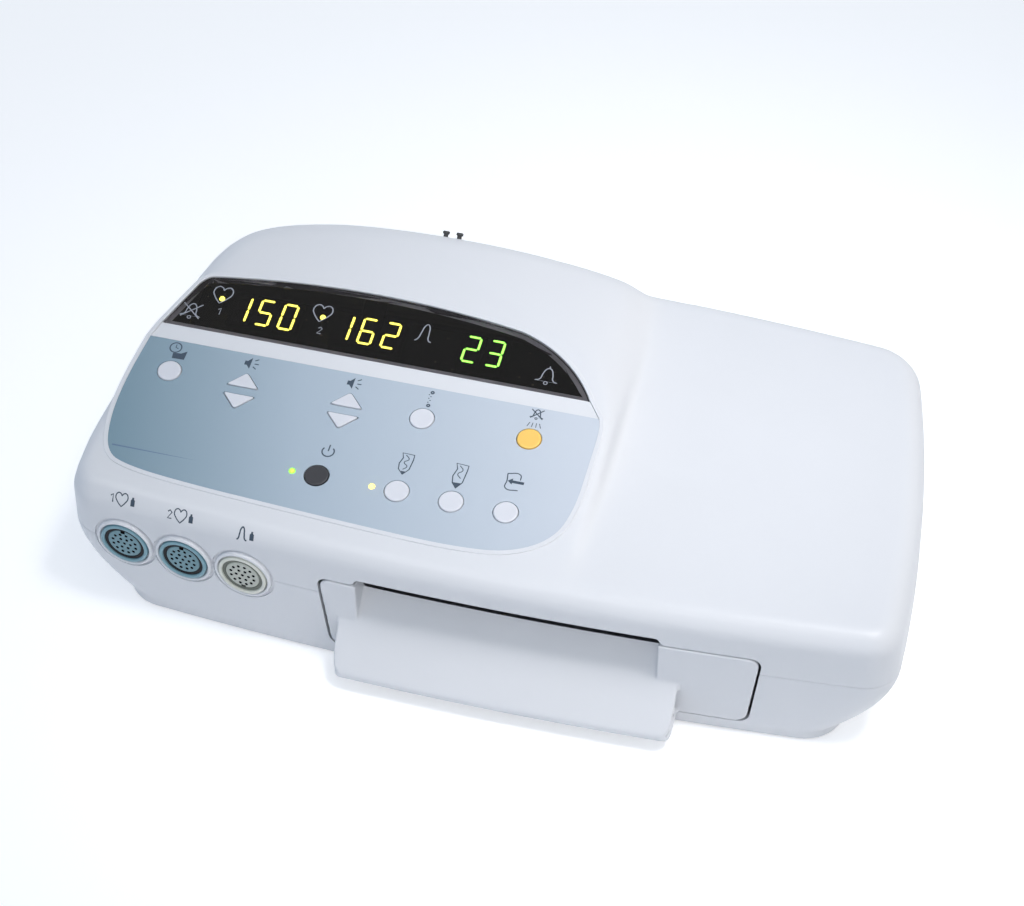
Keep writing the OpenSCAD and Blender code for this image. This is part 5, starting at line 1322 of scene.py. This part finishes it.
hand_over(turned("equipotential_stud",
                 [(0, -4), (4, -4), (4, 1.5), (5.2, 1.5), (5.5, 1.8), (5.5, 3.2), (5.2, 3.5),
                  (3.4, 3.5), (3.0, 3.9)] + thread + [(2.9, 12.4), (2.4, 12.9), (0, 13)],
                 on_back(stud_x, connector_z), brass, steps=48), "housing", "brass",
          ["ground_stud"])
shells, cores = [], []
for x in port_places:
    place = on_back(x, connector_z)
    shell = carved(raised("shell", cornered(18.6, 10.6, 2.4, 16.2), -10, 6, place, bright_steel),
                   [raised("bore", cornered(17.4, 9.4, 1.9, 15.0), -9, 8, place)])
    ears = carved(raised("ears", cornered(31, 12, 1.4), 1.5, 2.5, place, bright_steel),
                  [raised("bore", cornered(17.4, 9.4, 1.9, 15.0), 0, 4, place)])
    shells += [softened(shell, 0.25, 2, 60), softened(ears, 0.25, 2, 60)]
    for side in (-12.5, 12.5):
        post_place = place @ at(side, 0)
        post = rod(2.3, 1.5, 6.5, post_place, bright_steel, steps=6)
        shells.append(softened(carved(post, [rod(1.2, 3, 8, post_place, bright_steel, steps=20)]),
                               0.2, 2, 50))
    core = raised("core", cornered(17.2, 9.2, 1.8, 14.8), -8, 3.6, place, port_insulator)
    # The contact holes' walls take the painted hole shade.
    holes = [rod(0.5, 1, 6, place @ at(2.76 * (i - (n - 1) / 2), y), hole_shade_black, steps=12)
             for n, y in ((5, -1.4), (4, 1.4)) for i in range(n)]
    core.data.materials.append(hole_shade_black)
    cores.append(carved(core, holes))
hand_over(joined("data_port_shells", *shells), "housing", "steel", ["data_ports"])
hand_over(joined("data_port_cores", *cores), "housing", "black_plastic")


# Speaker. It stands face down over the slots in the base: a pressed basket with a rolled rim,
# a paper cone with its surround and dust cap, and a round magnet.
speaker_paper = plastic("speaker_paper", (0.045, 0.044, 0.042), rough=0.85, size=0.0009,
                        depth=0.00006, drift=0.5, level=0.15)
basket_steel = metal("basket_steel", (0.33, 0.34, 0.35), rough=0.38)
at_speaker = at(speaker_x, speaker_y, 5.2)
hand_over(turned("speaker_basket", [
    (25.2, 0), (28.2, 0), (28.5, 0.3), (28.5, 2.6), (28.1, 3.0), (26, 3.0), (24.5, 3.4),
    (14, 10), (15, 10), (15, 17.4), (14.5, 18), (0, 18), (0, 9.4), (11.5, 9.4), (24.5, 1.6),
    (25.2, 0.8), (25.2, 0)], at_speaker, basket_steel, steps=96), "housing", "steel", ["speaker"])
hand_over(turned("speaker_cone", [
    (25.1, 0.9), (24.7, 0.5), (23.6, 0.25), (22.5, 0.5), (22.0, 1.0), (10, 7.0), (9.4, 6.6),
    (6.2, 5.2), (3, 4.6), (0, 4.4), (0, 9.0), (11, 9.0), (24.3, 1.7), (25.1, 0.9)],
    at_speaker, speaker_paper, steps=96), "housing", "black_plastic")


# Inside. Boards of green glass-fibre laminate, the recorder's sheet steel frame, its rubber
# platen, gears and motor, and the parts on the boards keep their shapes and get their finishes.
def laminate(name, colour, track):
    """Circuit board: solder mask over copper tracks, with small plated holes."""
    m = bpy.data.materials.new(name)
    m.use_nodes = True
    nt = m.node_tree
    shader = nt.nodes["Principled BSDF"].inputs
    shader["Roughness"].default_value = 0.32
    here = add_node(nt, "TexCoord").outputs["Object"]
    tracks = add_node(nt, "TexBrick", {
        "Vector": here, "Scale": 130, "Mortar Size": 0.035, "Color1": (*colour, 1),
        "Color2": (*(c * 0.8 for c in colour), 1), "Mortar": (*track, 1)}).outputs
    holes = add_node(nt, "TexVoronoi", {"Vector": here, "Scale": 190})
    pad = add_node(nt, "Math", {0: holes.outputs["Distance"], 1: 0.13}, operation="LESS_THAN")
    mix = add_node(nt, "Mix", {"Factor": pad.outputs[0], "A": tracks["Color"],
                               "B": (0.55, 0.45, 0.25, 1)}, data_type="RGBA")
    bump = add_node(nt, "Bump", {"Distance": 0.00003, "Height": tracks["Fac"]})
    nt.links.new(mix.outputs["Result"], shader["Base Color"])
    nt.links.new(bump.outputs["Normal"], shader["Normal"])
    return m


board_green = laminate("green_laminate", (0.018, 0.11, 0.055), (0.05, 0.20, 0.10))
board_dark = laminate("dark_laminate", (0.006, 0.008, 0.007), (0.012, 0.014, 0.013))
frame_steel = metal("frame_sheet", (0.50, 0.515, 0.53), rough=0.33, scale=380.0,
                    stretch=(1, 0.05, 1))
drawn_aluminium = metal("drawn_aluminium", (0.66, 0.67, 0.69), rough=0.3, scale=500.0,
                        stretch=(0.02, 1, 1))
motor_steel = metal("motor_case", (0.30, 0.31, 0.33), rough=0.36, scale=300.0)
core_plates = metal("core_plates", (0.34, 0.31, 0.27), rough=0.4, scale=1400.0,
                    depth=0.00003, stretch=(1, 0.01, 0.01))
part_black = plastic("component_black", (0.025, 0.025, 0.027), rough=0.5, size=0.0005, drift=0.2)
gear_white = plastic("gear_white", (0.72, 0.72, 0.70), rough=0.42, size=0.0007, drift=0.03)
gear_ivory = plastic("gear_ivory", (0.66, 0.62, 0.50), rough=0.42, size=0.0007, drift=0.03)
platen_black = plastic("platen_black", (0.028, 0.028, 0.03), rough=0.62, size=0.0004,
                       depth=0.00002, drift=0.2, level=0.3)
finishes = {
    board_green: ["keypad_board", "main_board", "power_board", "socket_board"],
    board_dark: ["display_board"],
    part_black: ["tact_switches", "main_board_parts", "power_parts"],
    bright_steel: ["socket_nuts", "board_screws", "printhead_springs", "platen_shaft"],
    frame_steel: ["recorder_frame", "drawer_rails"], core_plates: ["transformer"],
    motor_steel: ["stepper_motor"], brass: ["motor_pinion"], gear_white: ["platen_gear"],
    gear_ivory: ["idler_gear"]}
for finish, nodes in finishes.items():
    for node in nodes:
        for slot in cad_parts[node].material_slots:
            slot.material = finish


# Paper drawer's tray, the printhead and the platen's rubber show when the drawer is out. Their
# edges are rounded a little, as moulding, extrusion and grinding leave them.
def rounded_copy(node, name, width, finish):
    bm = bmesh.new()
    bm.from_mesh(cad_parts[node].data)
    bmesh.ops.scale(bm, vec=(1000, 1000, 1000), verts=bm.verts)
    bmesh.ops.remove_doubles(bm, verts=bm.verts, dist=0.001)
    bmesh.ops.dissolve_limit(bm, angle_limit=math.radians(1), verts=bm.verts, edges=bm.edges)
    return softened(as_object(name, bm, finish), width, 2, 60)


hand_over(rounded_copy("paper_tray", "paper_tray_moulding", 0.4, housing_plastic), "drawer",
          "housing_base", ["paper_tray"])
hand_over(rounded_copy("printhead", "printhead_heatsink", 0.25, drawn_aluminium), "housing",
          "aluminium", ["printhead"])
hand_over(rounded_copy("platen_rubber", "platen_sleeve", 0.4, platen_black), "platen", "rubber",
          ["platen_rubber"])
